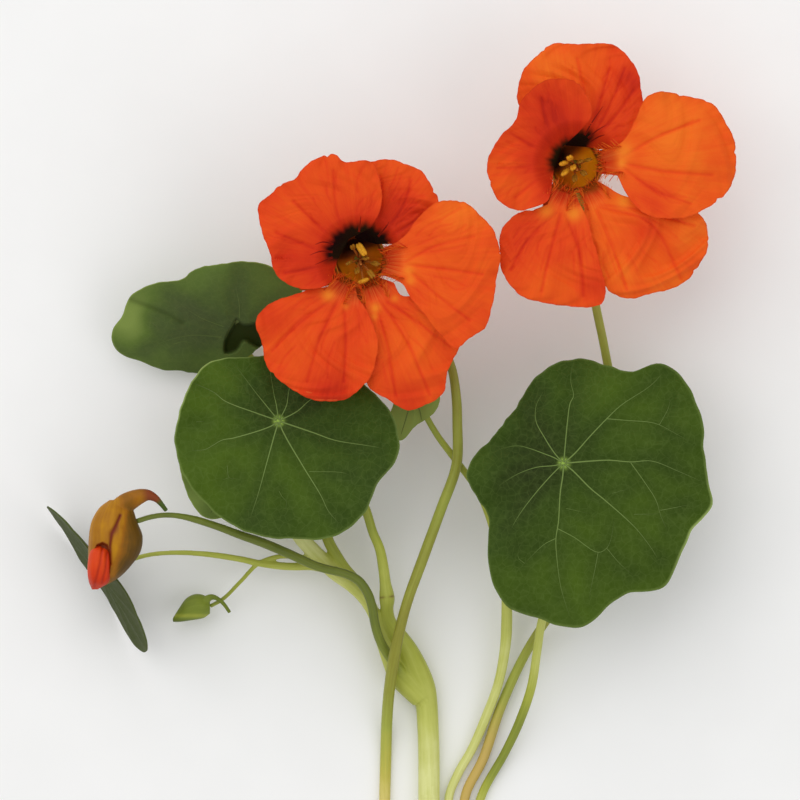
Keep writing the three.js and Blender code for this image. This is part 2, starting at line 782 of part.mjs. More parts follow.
// Middle of an outline's area
function middleOf(outline) {
  const middle = vec(0, 0, 0);
  let whole = 0;
  outline.forEach((p, k) => {
    const q = outline[(k + 1) % outline.length];
    const share = p.x * q.y - p.y * q.x;
    middle.addScaledVector(p, share).addScaledVector(q, share);
    whole += 3 * share;
  });
  return middle.divideScalar(whole);
}

// A petal: its outline closed by the root of its claw, and the bloom's surface inside it
function petal(bloom, spec) {
  const [clawAngle, clawRadius, clawHalfWidth] = spec.claw;
  const { along, across } = directions(clawAngle);
  const outline = new THREE.CatmullRomCurve3(spec.outline.map(([x, y]) => vec(x, y, 0)));
  const rim = outline.getPoints(RIM_STEPS * (spec.outline.length - 1));
  const side = across.dot(rim[0]) > across.dot(rim[rim.length - 1]) ? -1 : 1;
  for (const turn of [side, -side]) {
    const corner = along.clone().multiplyScalar(clawRadius);
    rim.push(corner.addScaledVector(across, turn * clawHalfWidth));
  }
  const middle = middleOf(rim).lerp(along.clone().multiplyScalar(clawRadius), PULL_TO_CLAW);
  const place = (share, k) => {
    const point = middle.clone().lerp(rim[k], share);
    const radius = point.length();
    const hood = spec.hood * clamp01((radius - THROAT.outer) / HOOD_WIDTH) ** 2;
    const ripple = ruffle(radius, Math.atan2(point.y, point.x));
    point.z = throatHeight(radius) + ripple + spec.lift + hood;
    return point.add(vec(...bloom.centre));
  };
  return discSheet(PETAL_RINGS, rim.length, place, backDrop(bloom, PETAL_THICKNESS));
}

// A sepal lies under the petals, with a keel along its middle.
function sepal(bloom, angle) {
  const { along, across } = directions(angle);
  const rows = [];
  for (let row = 0; row <= SEPAL.rows; row++) {
    const part = row / SEPAL.rows;
    const width = SEPAL.halfWidth * Math.sqrt(1 - SEPAL.taper * part ** SEPAL.bluntness);
    rows.push(
      [-1, 0, 1].map((side) => {
        const point = along.clone().multiplyScalar(SEPAL.root + part * SEPAL.length);
        point.addScaledVector(across, side * width);
        point.z = throatHeight(point.length()) - SEPAL.below - (side ? 0 : SEPAL.keel);
        return point.add(vec(...bloom.centre));
      }),
    );
  }
  return rowSheet(rows, backDrop(bloom, SEPAL.thickness));
}

// Rows of distance towards the bloom's upper side, height and radius, as a path in space
function spurRows(bloom, thinner) {
  const { along } = directions(bloom.up);
  return bloom.spur.map(([out, height, radius]) => {
    const [x, y, z] = bloom.centre;
    return [x + along.x * out, y + along.y * out, z + height, radius - thinner];
  });
}

// Cup, sepals and spur as one body
function calyx(bloom) {
  const ring = ([radius, height]) => {
    return levelRing(vec(0, 0, height).add(vec(...bloom.centre)), radius, CUP_SIDES);
  };
  const spurSide = vec(1, 0, 0);
  const sepals = bloom.sepals.map((angle) => sepal(bloom, angle));
  const spurOutside = stalk(spurRows(bloom, 0), spurSide);
  const mouth = stalk(spurRows(bloom, SPUR_WALL).slice(0, MOUTH_ROWS), spurSide);
  const outside = join([skin(CUP_OUTSIDE.map(ring)), spurOutside, ...sepals]);
  return outside.subtract(join([skin(CUP_INSIDE.map(ring)), mouth]));
}

// Ovary, style and stamens as one body
function stamens(bloom) {
  const place = (x, y, z) => vec(x, y, z).add(vec(...bloom.centre));
  const ring = (x, y, z, radius) => levelRing(place(x, y, z), radius, STAMEN_SIDES);
  const { radius, base, top, shoulder, endShare } = OVARY;
  const ovary = skin([
    ring(0, 0, base, radius * endShare),
    ring(0, 0, base + shoulder, radius),
    ring(0, 0, top - shoulder, radius),
    ring(0, 0, top, radius * endShare),
  ]);
  const filament = ([x, y, z]) => {
    const { rootShare, bendShare } = FILAMENT;
    const root = place(x * rootShare, y * rootShare, top - shoulder);
    const bend = place(x * bendShare, y * bendShare, (top + z) / 2);
    const path = [root, bend, place(x, y, z)];
    return skin(path.map((point) => levelRing(point, FILAMENT.radius, FILAMENT_SIDES)));
  };
  const anther = ([x, y, z]) =>
    skin([
      ring(x, y, z - ANTHER.halfLength, ANTHER.radius * ANTHER.endShare),
      ring(x, y, z, ANTHER.radius),
      ring(x, y, z + ANTHER.halfLength, ANTHER.radius * ANTHER.endShare),
    ]);
  const threads = [...bloom.anthers, STYLE_TOP].map(filament);
  return join([ovary, ...threads, ...bloom.anthers.map(anther)]);
}

// A bud's body from slices; along is the axis it is sliced across, "y" or "x".
function budBody(slices, along, middle, halfDepth, grow) {
  const last = slices.length - 1;
  const direction = Math.sign(slices[last][0] - slices[0][0]);
  return skin(
    slices.map(([at, near, far], i) => {
      const half = (far - near) / 2 + grow;
      const centre = (near + far) / 2;
      const end = i === 0 ? -direction : i === last ? direction : 0;
      const reach = at + end * grow;
      const place = along === "y" ? vec(centre, reach, middle) : vec(reach, centre, middle);
      const wide = along === "y" ? vec(half, 0, 0) : vec(0, half, 0);
      return ovalRing(place, wide, vec(0, 0, half * halfDepth), BUD_SIDES);
    }),
  );
}

// Stems
add("shoot_stem", "stem", join(Object.values(SHOOT).map((rows) => stalk(rows))));
add("bloom_left_stalk", "stalk", solid(stalk(BLOOM_LEFT_STALK)));
add("bloom_right_stalk", "stalk", solid(stalk(BLOOM_RIGHT_STALK)));
add("leaf_small_stalk", "stem", solid(stalk(SMALL_LEAF_STALK)));
add("leaf_front_right_stalk", "stem", solid(stalk(RIGHT_LEAF_STALK)));

// Leaves
for (const [name, spec] of Object.entries(LEAVES)) add(name, spec.finish, solid(leaf(spec)));
add("leaf_edge_on", "leafPale", solid(edgeLeaf()));

// Blooms
for (const [name, bloom] of Object.entries(BLOOMS)) {
  add(name + "_calyx", "calyx", calyx(bloom));
  for (const [petalName, spec] of Object.entries(bloom.petals)) {
    add(name + "_petal_" + petalName, "petal", solid(petal(bloom, spec)));
  }
  add(name + "_stamens", "stamen", stamens(bloom));
}

// Buds
const { middle, halfDepth, slices, petalSlices, petalHalfDepth, clearance, spur } = LARGE_BUD;
const budPetals = solid(budBody(petalSlices, "y", middle, petalHalfDepth, 0));
const budRoom = solid(budBody(petalSlices, "y", middle, 2 * petalHalfDepth, clearance));
const budSepals = join([budBody(slices, "y", middle, halfDepth, 0), stalk(spur)]);
add("bud_large_sepals", "calyx", budSepals.subtract(budRoom));
add("bud_large_petals", "petal", budPetals);
add(
  "bud_small",
  "budGreen",
  join([
    budBody(SMALL_BUD.slices, "x", SMALL_BUD.middle, SMALL_BUD.halfDepth, 0),
    stalk(SMALL_BUD.spur),
  ]),
);

export default bunch;
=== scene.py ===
import math

import bpy
import numpy as np
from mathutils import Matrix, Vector


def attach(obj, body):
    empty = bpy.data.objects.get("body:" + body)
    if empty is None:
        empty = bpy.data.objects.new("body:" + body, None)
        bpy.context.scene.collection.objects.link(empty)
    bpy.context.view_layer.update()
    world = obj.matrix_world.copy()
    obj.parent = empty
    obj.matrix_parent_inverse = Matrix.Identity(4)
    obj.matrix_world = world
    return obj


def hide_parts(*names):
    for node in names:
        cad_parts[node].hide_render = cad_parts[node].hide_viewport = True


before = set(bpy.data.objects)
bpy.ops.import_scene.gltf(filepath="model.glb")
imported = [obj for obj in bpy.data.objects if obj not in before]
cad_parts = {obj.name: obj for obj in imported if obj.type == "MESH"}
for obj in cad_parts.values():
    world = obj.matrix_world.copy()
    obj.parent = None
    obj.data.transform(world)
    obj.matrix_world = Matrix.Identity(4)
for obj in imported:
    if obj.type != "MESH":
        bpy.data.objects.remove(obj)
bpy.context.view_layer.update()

# Tables are text: rows with commas between them, and semicolons between tables. Positions in a
# leaf, petal or bloom count from its centre.
MILLIMETRE = 0.001
BUNCH_SHIFT = [2.5, 8.9, 0.0]
LEAF_THICKNESS = 0.75
LEAF_SEED, PETAL_SEED = 11, 31
# Rings of a blade's front for one at its back, and steps for a row and sides of a stem
BACK_STEP = 5
STEM_DETAIL = 8, 28
SHARP_ANGLE = 60
# Relief of a leaf: height and reach of the puffs between its veins, of the dimple in its middle
# and of creases, height of broad bumps, depth of a hollow, and the knob in which the veins meet
PUFF, DIMPLE, LEAF_CREASE = (0.36, 2.4), (0.34, 1 / 9), (0.45, 0.8)
BUMPS, HOLLOW_DEPTH = 0.20, 1.5
KNOB = "-0.5 0.1, 0 0, 0.5 -0.1"
# Where the pale cut ends of stems begin and are palest, counted down the picture, how far the
# tones of stems run into each other, and how many points are worked out at a time
SHOOT_CUT, STALK_CUT = (98.5, 98.85), (98.8, 98.95)
TONE_REACH, BLOCK = 0.5, 6000
# Light from all round, and the picture's width in metres at MID_HEIGHT
SKY_STRENGTH = 0.66
FRAME_WIDTH, LENS, SENSOR, MID_HEIGHT = 0.184, 400, 36, 0.020

# Stems: tones from root to tip, 0 for dark green to 1 for pale yellow-green, then rows of
# x, y, z and radius. The first table's stems all grow out of the trunk.
SHOOT = {
    "trunk": dict(
        tones="0.98 0.94 0.8 0.56 0.52 0.66 0.5 0.42 0.36 0.34",
        path="""6.7 -98.9 2.3 2.5, 6.7 -82.8 2.3 2.5, 6.5 -76 2.4 2.5, 6.1 -70.2 2.7 2.6,
        5.3 -67 3.1 3, 3.7 -63 3.9 3.1, 1.7 -58.3 5.2 2.6, -0.7 -54.3 6.8 2.1, -2.5 -51.4 7.8 1.7,
        -3 -48.4 8.8 1.5, -3 -45.9 9.7 1.8, -3.4 -42.3 11.2 1.35, -3.9 -38.3 12.8 1.25,
        -4.7 -34.3 14.4 1.15, -6.3 -30.4 15.8 1.1, -8 -25 17.6 1.1, -13.4 -15.2 20.4 1.1,
        -20.7 -9.2 22.2 1.1, -26.2 -5.9 23.4 1, -27.6 -5 25.6 1"""),
    "pale_branch": dict(
        tones="0.62 0.66 0.76 0.88 1 0.96 0.8",
        path="""5.1 -68.8 3 2.9, 2.7 -66.3 3.7 3.1, 0.3 -63.8 4.3 3.1, -1.9 -60.2 5.2 2.3,
        -3.5 -56.8 6.2 1.8, -4.9 -52.9 7.2 1.6, -5.9 -49.7 8 1.5, -8 -46 8.6 1.6,
        -11.2 -42.6 9.2 1.8, -15.1 -39.7 9.8 1.9, -18.7 -36.2 10.2 1.8, -21.4 -33.5 10.5 1.8,
        -23.4 -31 10.8 1.8, -26.7 -24.2 11.4 1.5, -31.7 -17.2 12.6 1.2, -36.6 -12.8 14.2 1,
        -38.4 -11.6 16.2 0.9"""),
    "olive_branch": dict(
        tones="0.46 0.42 0.38 0.34 0.34",
        path="""-8.3 -44.3 8.6 1.3, -10.5 -41.5 9.6 1.3, -12.9 -38.7 10.2 1.3,
        -14.7 -35.9 10.4 1.3, -16.2 -33.3 10.4 1.3, -18.9 -26 9.8 1.2, -23.9 -11.5 7.6 1.1,
        -30.4 2.3 4.6 1, -36.8 12.7 4.4 1, -40.6 16.6 7.2 0.9, -42.2 17.9 12.6 0.9"""),
    "bud_pedicel": dict(
        tones="0.3 0.12 0.06 0.04 0.05 0.06 0.08 0.1",
        path="""1.5 -64.5 5.2 1.4, -2 -60 8.6 1.2, -4.6 -55.6 11 1.1, -5.8 -51.6 12.8 1.1,
        -6.4 -47.8 14.2 1.1, -7.5 -44.5 15.2 1.1, -9.6 -41.6 16 1.1, -12.4 -40.1 16.7 1.05,
        -18.8 -38.4 17.9 1.05, -26.2 -35.1 19.2 1.1, -31.9 -32.7 20.2 1.1, -36.8 -31 21 1,
        -41.6 -29.2 21.7 0.9, -46.5 -27.6 22.4 0.85, -50.3 -26.7 23.2 0.7, -53.6 -26.4 24 0.65,
        -57 -26.8 25.2 0.65, -60.4 -27.8 26.4 0.65"""),
    "edge_leaf_petiole": dict(
        tones="0.62 0.6 0.58 0.56",
        path="""-16.4 -39 9.8 1.2, -20.6 -38.3 9.8 1.1, -24.2 -38.5 9.8 0.95, -28.2 -38.3 9.8 0.9,
        -32.2 -37.8 9.9 0.8, -36.8 -36.8 10 0.75, -43.2 -35.8 10.3 0.7, -49.7 -35.3 10.6 0.6,
        -56.1 -35.5 10.9 0.55, -60.5 -36.4 11 0.55, -67.6 -39.4 11.3 0.55"""),
    "small_bud_pedicel": dict(
        tones="0.56 0.5 0.36",
        path="""-20.2 -36.9 10.4 0.9, -27.1 -36.1 9.9 0.6, -32.4 -37.6 9.6 0.55,
        -36.8 -41.9 7.8 0.5, -40.9 -46 5.9 0.5, -44 -47.8 5.4 0.5"""),
}
# Loose stalks; blush is where a warm tint ends, as y from and to, and its strength
STALKS = {
    "bloom_left_stalk": dict(
        slot="stalk", blush=(-98, -84, 0.35), tones="1 0.72 0.4 0.24 0.42 0.5 0.44 0.3 0.22 0.2",
        path="""-3.7 -98.9 1.1 1.25, -3.3 -82.8 1.1 1.3, -3 -73.6 3.8 1.3, -2.4 -66.5 8.6 1.3,
        -1.4 -59.8 12.4 1.35, -0.3 -54.1 13.9 1.25, 1.7 -46.5 14.2 1.2, 5.2 -36.8 14.6 1.25,
        9.4 -25.3 15.2 1.2, 13 -15 16 1.2, 13.2 -5.4 16.8 1.15, 12.9 1.2 17.4 1.1, 11.6 8.3 18 1,
        8.2 14.3 18.6 1, 2.3 17.9 19 1, -2.8 22.5 18.8 1.1, -8.2 30.4 18.6 1.2"""),
    "bloom_right_stalk": dict(
        slot="stalk", blush=(-84, -66, 0.7), tones="0.72 0.6 0.44 0.4 0.44 0.46 0.4",
        path="""14.1 -98.9 0.95 1.05, 15.4 -91.1 1 1.1, 19.3 -83.3 1.1 1.15, 23.1 -72 1.8 1.15,
        28.1 -60.7 3.2 1.1, 33 -52.4 4.4 1.05, 41.4 -41.4 5.6 1, 47.6 -27.6 7 1, 50 -13.8 8.5 1,
        49.3 0 10.5 1, 47.2 12 12.8 1, 45 22.5 14.8 1, 43.4 32.2 15.6 1, 42.1 42.6 16 1.05,
        40.6 51.8 16.6 1.2"""),
    "leaf_small_stalk": dict(
        slot="stem", tones="0.95 0.9 0.84 0.7 0.5 0.4",
        path="""11.4 -98.9 0.9 1, 11.4 -92 0.9 1, 13.6 -86.5 1.1 1.05, 16.7 -81 1.6 1.05,
        19.9 -73.6 2.6 1.1, 22.7 -66 3.8 1.1, 24.2 -58.5 5 1.2, 24.7 -52 6 1.3, 24.4 -43 7.4 1.1,
        22 -31.5 9 0.9, 18.3 -21.6 10.6 0.8, 11.9 -12.6 13 0.8, 8.7 -8.3 14.5 0.75,
        5.2 -2.4 16.6 0.7, 3.4 0.3 19.6 0.7"""),
    "leaf_front_right_stalk": dict(
        slot="stem", tones="0.85 0.34 0.26 0.76 0.84 0.6 0.5 0.4",
        path="""16.8 -98.9 0.9 1, 19.3 -90.9 1 1, 24.2 -82.1 2.2 1, 27.6 -74.8 4.2 1.05,
        30.4 -66.5 6.2 1.05, 31.8 -57.5 8 1, 32.8 -51.1 9.4 1, 34.5 -46 10.6 0.95,
        36.1 -34.5 13.6 0.95, 37.6 -23 18.4 0.95, 37.6 -17.5 22.4 0.95, 37.5 -14.9 26.4 0.95"""),
}
NODE_RING = [-3.1, -45.5]

# Leaves: slope and dish tilt and bend the blade, and wave is the height, count and turn of the
# waves of its edge. edge is rows of azimuth and radius, a vein is its half width and its path,
# and hollow is the border of a sunk area, painted in shade like the creases. shade lightens the
# whole leaf, and glow puts painted light and shade on the areas in its rows of x, y, reach and
# strength. vein, heart and rim are how pale the veins, the middle and the rim are, and round the
# azimuths in rim_at, each with its reach, the rim is palest.
LEAVES = {
    "leaf_front_left": dict(
        centre=(-27.8, -4.8, 26.8), slope=(0.05, -0.1), dish=1.2, wave=(0.9, 7, 20), shade=0.02,
        vein=0.85, heart=0.9, rim=0.3, rim_at="150 22, 172 12",
        light_and_shade="-14 -9 11 0.16, -15 6 8 0.22, 9 -17 9 0.1, 2 2 9 -0.1",
        edge="""6 25.4, 19 22.1, 48 17.5, 85 15.5, 108 15.6, 122 17.2, 141 21, 161 22.1, 177 23,
        189 24.2, 212 25.1, 226 25.2, 241 25.9, 262 26.7, 280 27.4, 291 29, 304 29.4, 313 28.8,
        329 26.8, 339 28.2, 349 28.2""",
        veins="""0.19: 0 0, -5.1 1.8, -12.4 4.6, -14.8 6.5, -20.2 9; 0.17: 0 0, -3 3.7, -5.1 6.3,
        -10.6 13.6; 0.17: 0 0, -0.6 3.9, -1.1 6.1, -2.4 14.4; 0.17: 0 0, 1.8 3.6, 2.3 6.8,
        4.4 14.2; 0.19: 0 0, 4.2 2.2, 7.3 4.9, 16.4 10.6; 0.21: 0 0, 8 -2.7, 12.8 -4.4, 20.1 -5.6,
        23.2 -6.1; 0.22: 0 0, 1.1 -2.7, 5.9 -10.9, 9.7 -17.1, 11.4 -20.6, 13.7 -23.3; 0.21: 0 0,
        -1 -3.3, -3 -10.6, -4.8 -17.1, -6.5 -22.3; 0.2: 0 0, -2 -1.3, -10.3 -3.9, -13 -4.4,
        -16.8 -6.5, -19.9 -6.8; 0.1: 7 -11.6, 14.5 -11.8, 16.1 -12.3; 0.08: -18.9 -0.2, -17 -0.1;
        0.09: -11.8 -10.2, -11.3 -13, -9.6 -13.2; 0.08: -11.3 -13, -13 -13.5; 0.09: 0.1 -16.1,
        0.8 -17.3, 1.8 -18.5, 1.4 -20.9"""),
    "leaf_front_right": dict(
        centre=(37.5, -14.5, 27.6), slope=(-0.04, -0.06), dish=-1.4, wave=(1.2, 8, 0), shade=0,
        vein=0.85, heart=0.9, rim=0.22, rim_at="335 18",
        light_and_shade="17 -12 14 0.16, 22 8 10 0.1, -9 0 12 -0.14, 6 -28 9 0.08",
        edge="""5 32.4, 16 33.3, 32 33.7, 41 33.3, 47 31.2, 53 26.4, 64 24.7, 79 24.4, 90 23.5,
        99 22.3, 110 20.3, 128 17, 146 16.6, 162 17.6, 182 21.9, 191 22.3, 205 21.1, 218 21.6,
        229 26.6, 246 34.6, 262 36.2, 276 37.8, 287 34.4, 297 33.3, 308 36.5, 320 34.5, 332 33.2,
        344 35.4, 354 33.4""",
        veins="""0.19: 0 0, -2 2.2, -4.5 6.1, -6.3 9.6, -6.3 13.1, -4.7 16.4; 0.18: 0 0, 0.9 9.6,
        1.5 13.7, 2.3 15.5, 1.7 18.6, 1.9 22.7; 0.21: 0 0, 2.5 2.2, 5.8 5.9, 9.9 10.2, 13.2 13.3,
        20 17.8, 23 20.9; 0.22: 0 0, 6.2 0.5, 10.3 0.7, 15.4 0.3, 20.2 0.5, 26.7 -2, 31.7 -4.2;
        0.22: 0 0, 2.1 -1.7, 6.2 -5.8, 9.5 -8.5, 14.4 -12.8, 16.9 -15.3, 20.2 -19.6, 21.6 -21.9;
        0.22: 0 0, -0.2 -2.8, -0.8 -6.9, -1.2 -13.4, -1.8 -17.5, -1.4 -23.3, -0.6 -28.6, 1.5 -35.6;
        0.19: 0 0, -2.4 -2.3, -6.5 -6.9, -10.2 -11.8, -12.1 -15.1; 0.18: 0 0, -2 -0.5, -6.1 -0.9,
        -10.2 -2.3, -14.1 -4.6; 0.18: 0 0, -2 1.2, -4.5 2.2, -7.8 3.4, -10.6 4, -14.3 3.4;
        0.14: 9.9 10.2, 14.8 9.8, 19.8 9.4, 22 8.8, 25.5 6.9, 29.2 4.9; 0.1: 22 8.8, 24.1 12.7,
        24.5 14.9; 0.14: 15.4 0.1, 18.9 -4.8, 21.2 -8.5, 22.4 -12.4, 23.9 -15.5; 0.09: 16.1 -11.7,
        21.8 -11.6; 0.11: 22.2 -10.8, 25.9 -10.1, 28.8 -9.5; 0.14: -1.3 -15, 2.3 -16.9, 7.9 -20.4,
        9.9 -19.4, 10.9 -17.1, 11.5 -13; 0.11: 7.9 -20.4, 7.2 -24.1, 6.4 -27.8, 5.8 -31.1;
        0.11: 9.9 -19.5, 12.8 -22.9, 15.9 -25.7; 0.13: -1.8 -17.2, -4.5 -18.6, -9 -22.9;
        0.09: -9 -22.9, -10.4 -21.6, -10.2 -18.8; 0.08: 0.5 -10.3, 6.2 -11.6; 0.08: 11.1 -6.9,
        15.2 -5.8"""),
    "leaf_back_left": dict(
        centre=(-42.6, 17.9, 14.2), slope=(0.1, 0.8), dish=1, wave=(0.8, 5, 60), shade=0,
        vein=0.28, rim=0.15, rim_at="150 35, 60 40",
        light_and_shade="-20 0.5 5 0.45, -14 8 5 0.16, -3 10 7 0.16, -2 -8 13 -0.14",
        creases="-20.2 5.6, -17.2 4.4, -12.6 2.6, -7.5 0",
        hollow="""4.9 1, 6.7 -0.3, 9.9 0, 13 -0.6, 13 -5.2, 9.9 -6, 8.2 -5.2, 6.6 -4.4, 5 -6.6,
        2.1 -7.2, 2.1 -4.1""",
        edge="""6 17.4, 20 21.4, 28 20, 42 18.6, 60 16, 83 13.4, 110 12.9, 130 12.6, 146 16.1,
        155 18.5, 164 20.5, 177 21.7, 184 23.9, 192 24.3, 200 22.6, 207 19.6, 221 16.6, 234 13.8,
        270 11.5, 302 10.8, 334 12""",
        veins="""0.16: 5.6 1, 5.6 4.2, 5.1 7.4, 5.6 11.4; 0.15: 4.6 0.4, 3.2 -1.8, 2.2 -4;
        0.14: 9.8 0.6, 12.6 3.4, 15.4 5.8; 0.12: -14.7 0, -13.4 -1, -12.8 -2.5; 0.12: -9.8 -5,
        -7.4 -4.4, -5.2 -4.8; 0.14: 2 -1, -4 1.4, -11 6.8; 0.12: 1.4 -3.4, -6 -3, -16 -5.6"""),
    "leaf_under_left": dict(
        centre=(-38.6, -11.5, 17.4), slope=(-0.05, -0.04), dish=-0.8, wave=(0.6, 6, 0),
        shade=0.26, vein=0.35, rim=0.8,
        edge="""0 13, 60 12.5, 120 12, 170 12, 206 13.1, 221 14.2, 237 15.9, 250 16.8, 270 15,
        310 13.5""",
        veins="""0.24: 0 0, 6 1.6, 11.8 2.4; 0.24: 0 0, 3.4 5.2, 5.4 10.4; 0.24: 0 0, -2.8 5,
        -5.6 9.6; 0.24: 0 0, -6.4 1.4, -11 1; 0.24: 0 0, -5 -4.4, -9.8 -8.4; 0.24: 0 0, -1.6 -7,
        -5 -14.6; 0.24: 0 0, 3.8 -5.8, 6.4 -11.4"""),
    "leaf_small": dict(
        centre=(2.8, 0.9, 20.6), slope=(-0.04, -0.1), dish=0.5, wave=(0.4, 5, 0), shade=0.36,
        vein=0.35, rim=0.25, light_and_shade="-1 -7 3 0.12",
        edge="""30 6.5, 90 6.6, 150 5.6, 190 4.6, 210 5.3, 234 9.6, 255 10.6, 272 7.4, 292 6.3,
        333 6.4""",
        veins="""0.2: 0 0, 3 0.8, 5.6 1.6; 0.2: 0 0, 1.2 3.2, 1.8 5.8; 0.2: 0 0, -2 2.4, -3.6 4.2;
        0.2: 0 0, -2.4 -0.6, -4.2 -1.4; 0.2: 0 0, -1.2 -4.4, -2.6 -9; 0.2: 0 0, 1.6 -3,
        2.2 -5.6"""),
}
# The leaf seen on its edge: its axis is an azimuth, and its lean goes from one end to the other
EDGE_LEAF = dict(
    centre=(-70.3, -41.5, 10.7), axis=-55.8, length=20.3, height=11.1,
    lean=(6, 18), bow=1.5, twist=(0.4, 5))

# The surface round a bloom's throat, the ruffle of its rim, and how far a petal's middle is
# pulled to its claw
THROAT = {"inner": 3, "outer": 10.5, "depth": 10, "rise": 0.22, "droop": 0.011}
RUFFLE = {"height": 0.55, "start": 9, "width": 18, "count": 9, "share": 0.5, "second": 17}
PULL_TO_CLAW = 0.2
# A petal's thickness and what its rim lacks of that, depth and reach of creases and wrinkles
PETAL_THICKNESS, THINNER_RIM = 0.45, 0.30
CREASE, WRINKLE = (0.28, 0.5), (0.12, 0.36)
WRINKLE_COUNT, NOTCH_COUNT = 16, 5
# Folds that fan out from the throat: height, lowest and highest count round the bloom, how many,
# first phase and twist. Nicks of the rim: height and pace. A hair: share of its height, radius.
FOLDS = [(0.24, 5, 12, 3, 0, 0), (0.075, 14, 34, 4, 3, 0.1), (0.02, 45, 90, 4, 5, 0)]
NICKS = [(0.10, 0.8), (0.05, 1.9), (0.03, 3.7)]
HAIR = [(0, 0.10), (0.35, 0.08), (0.7, 0.06), (1.0, 0.03)]
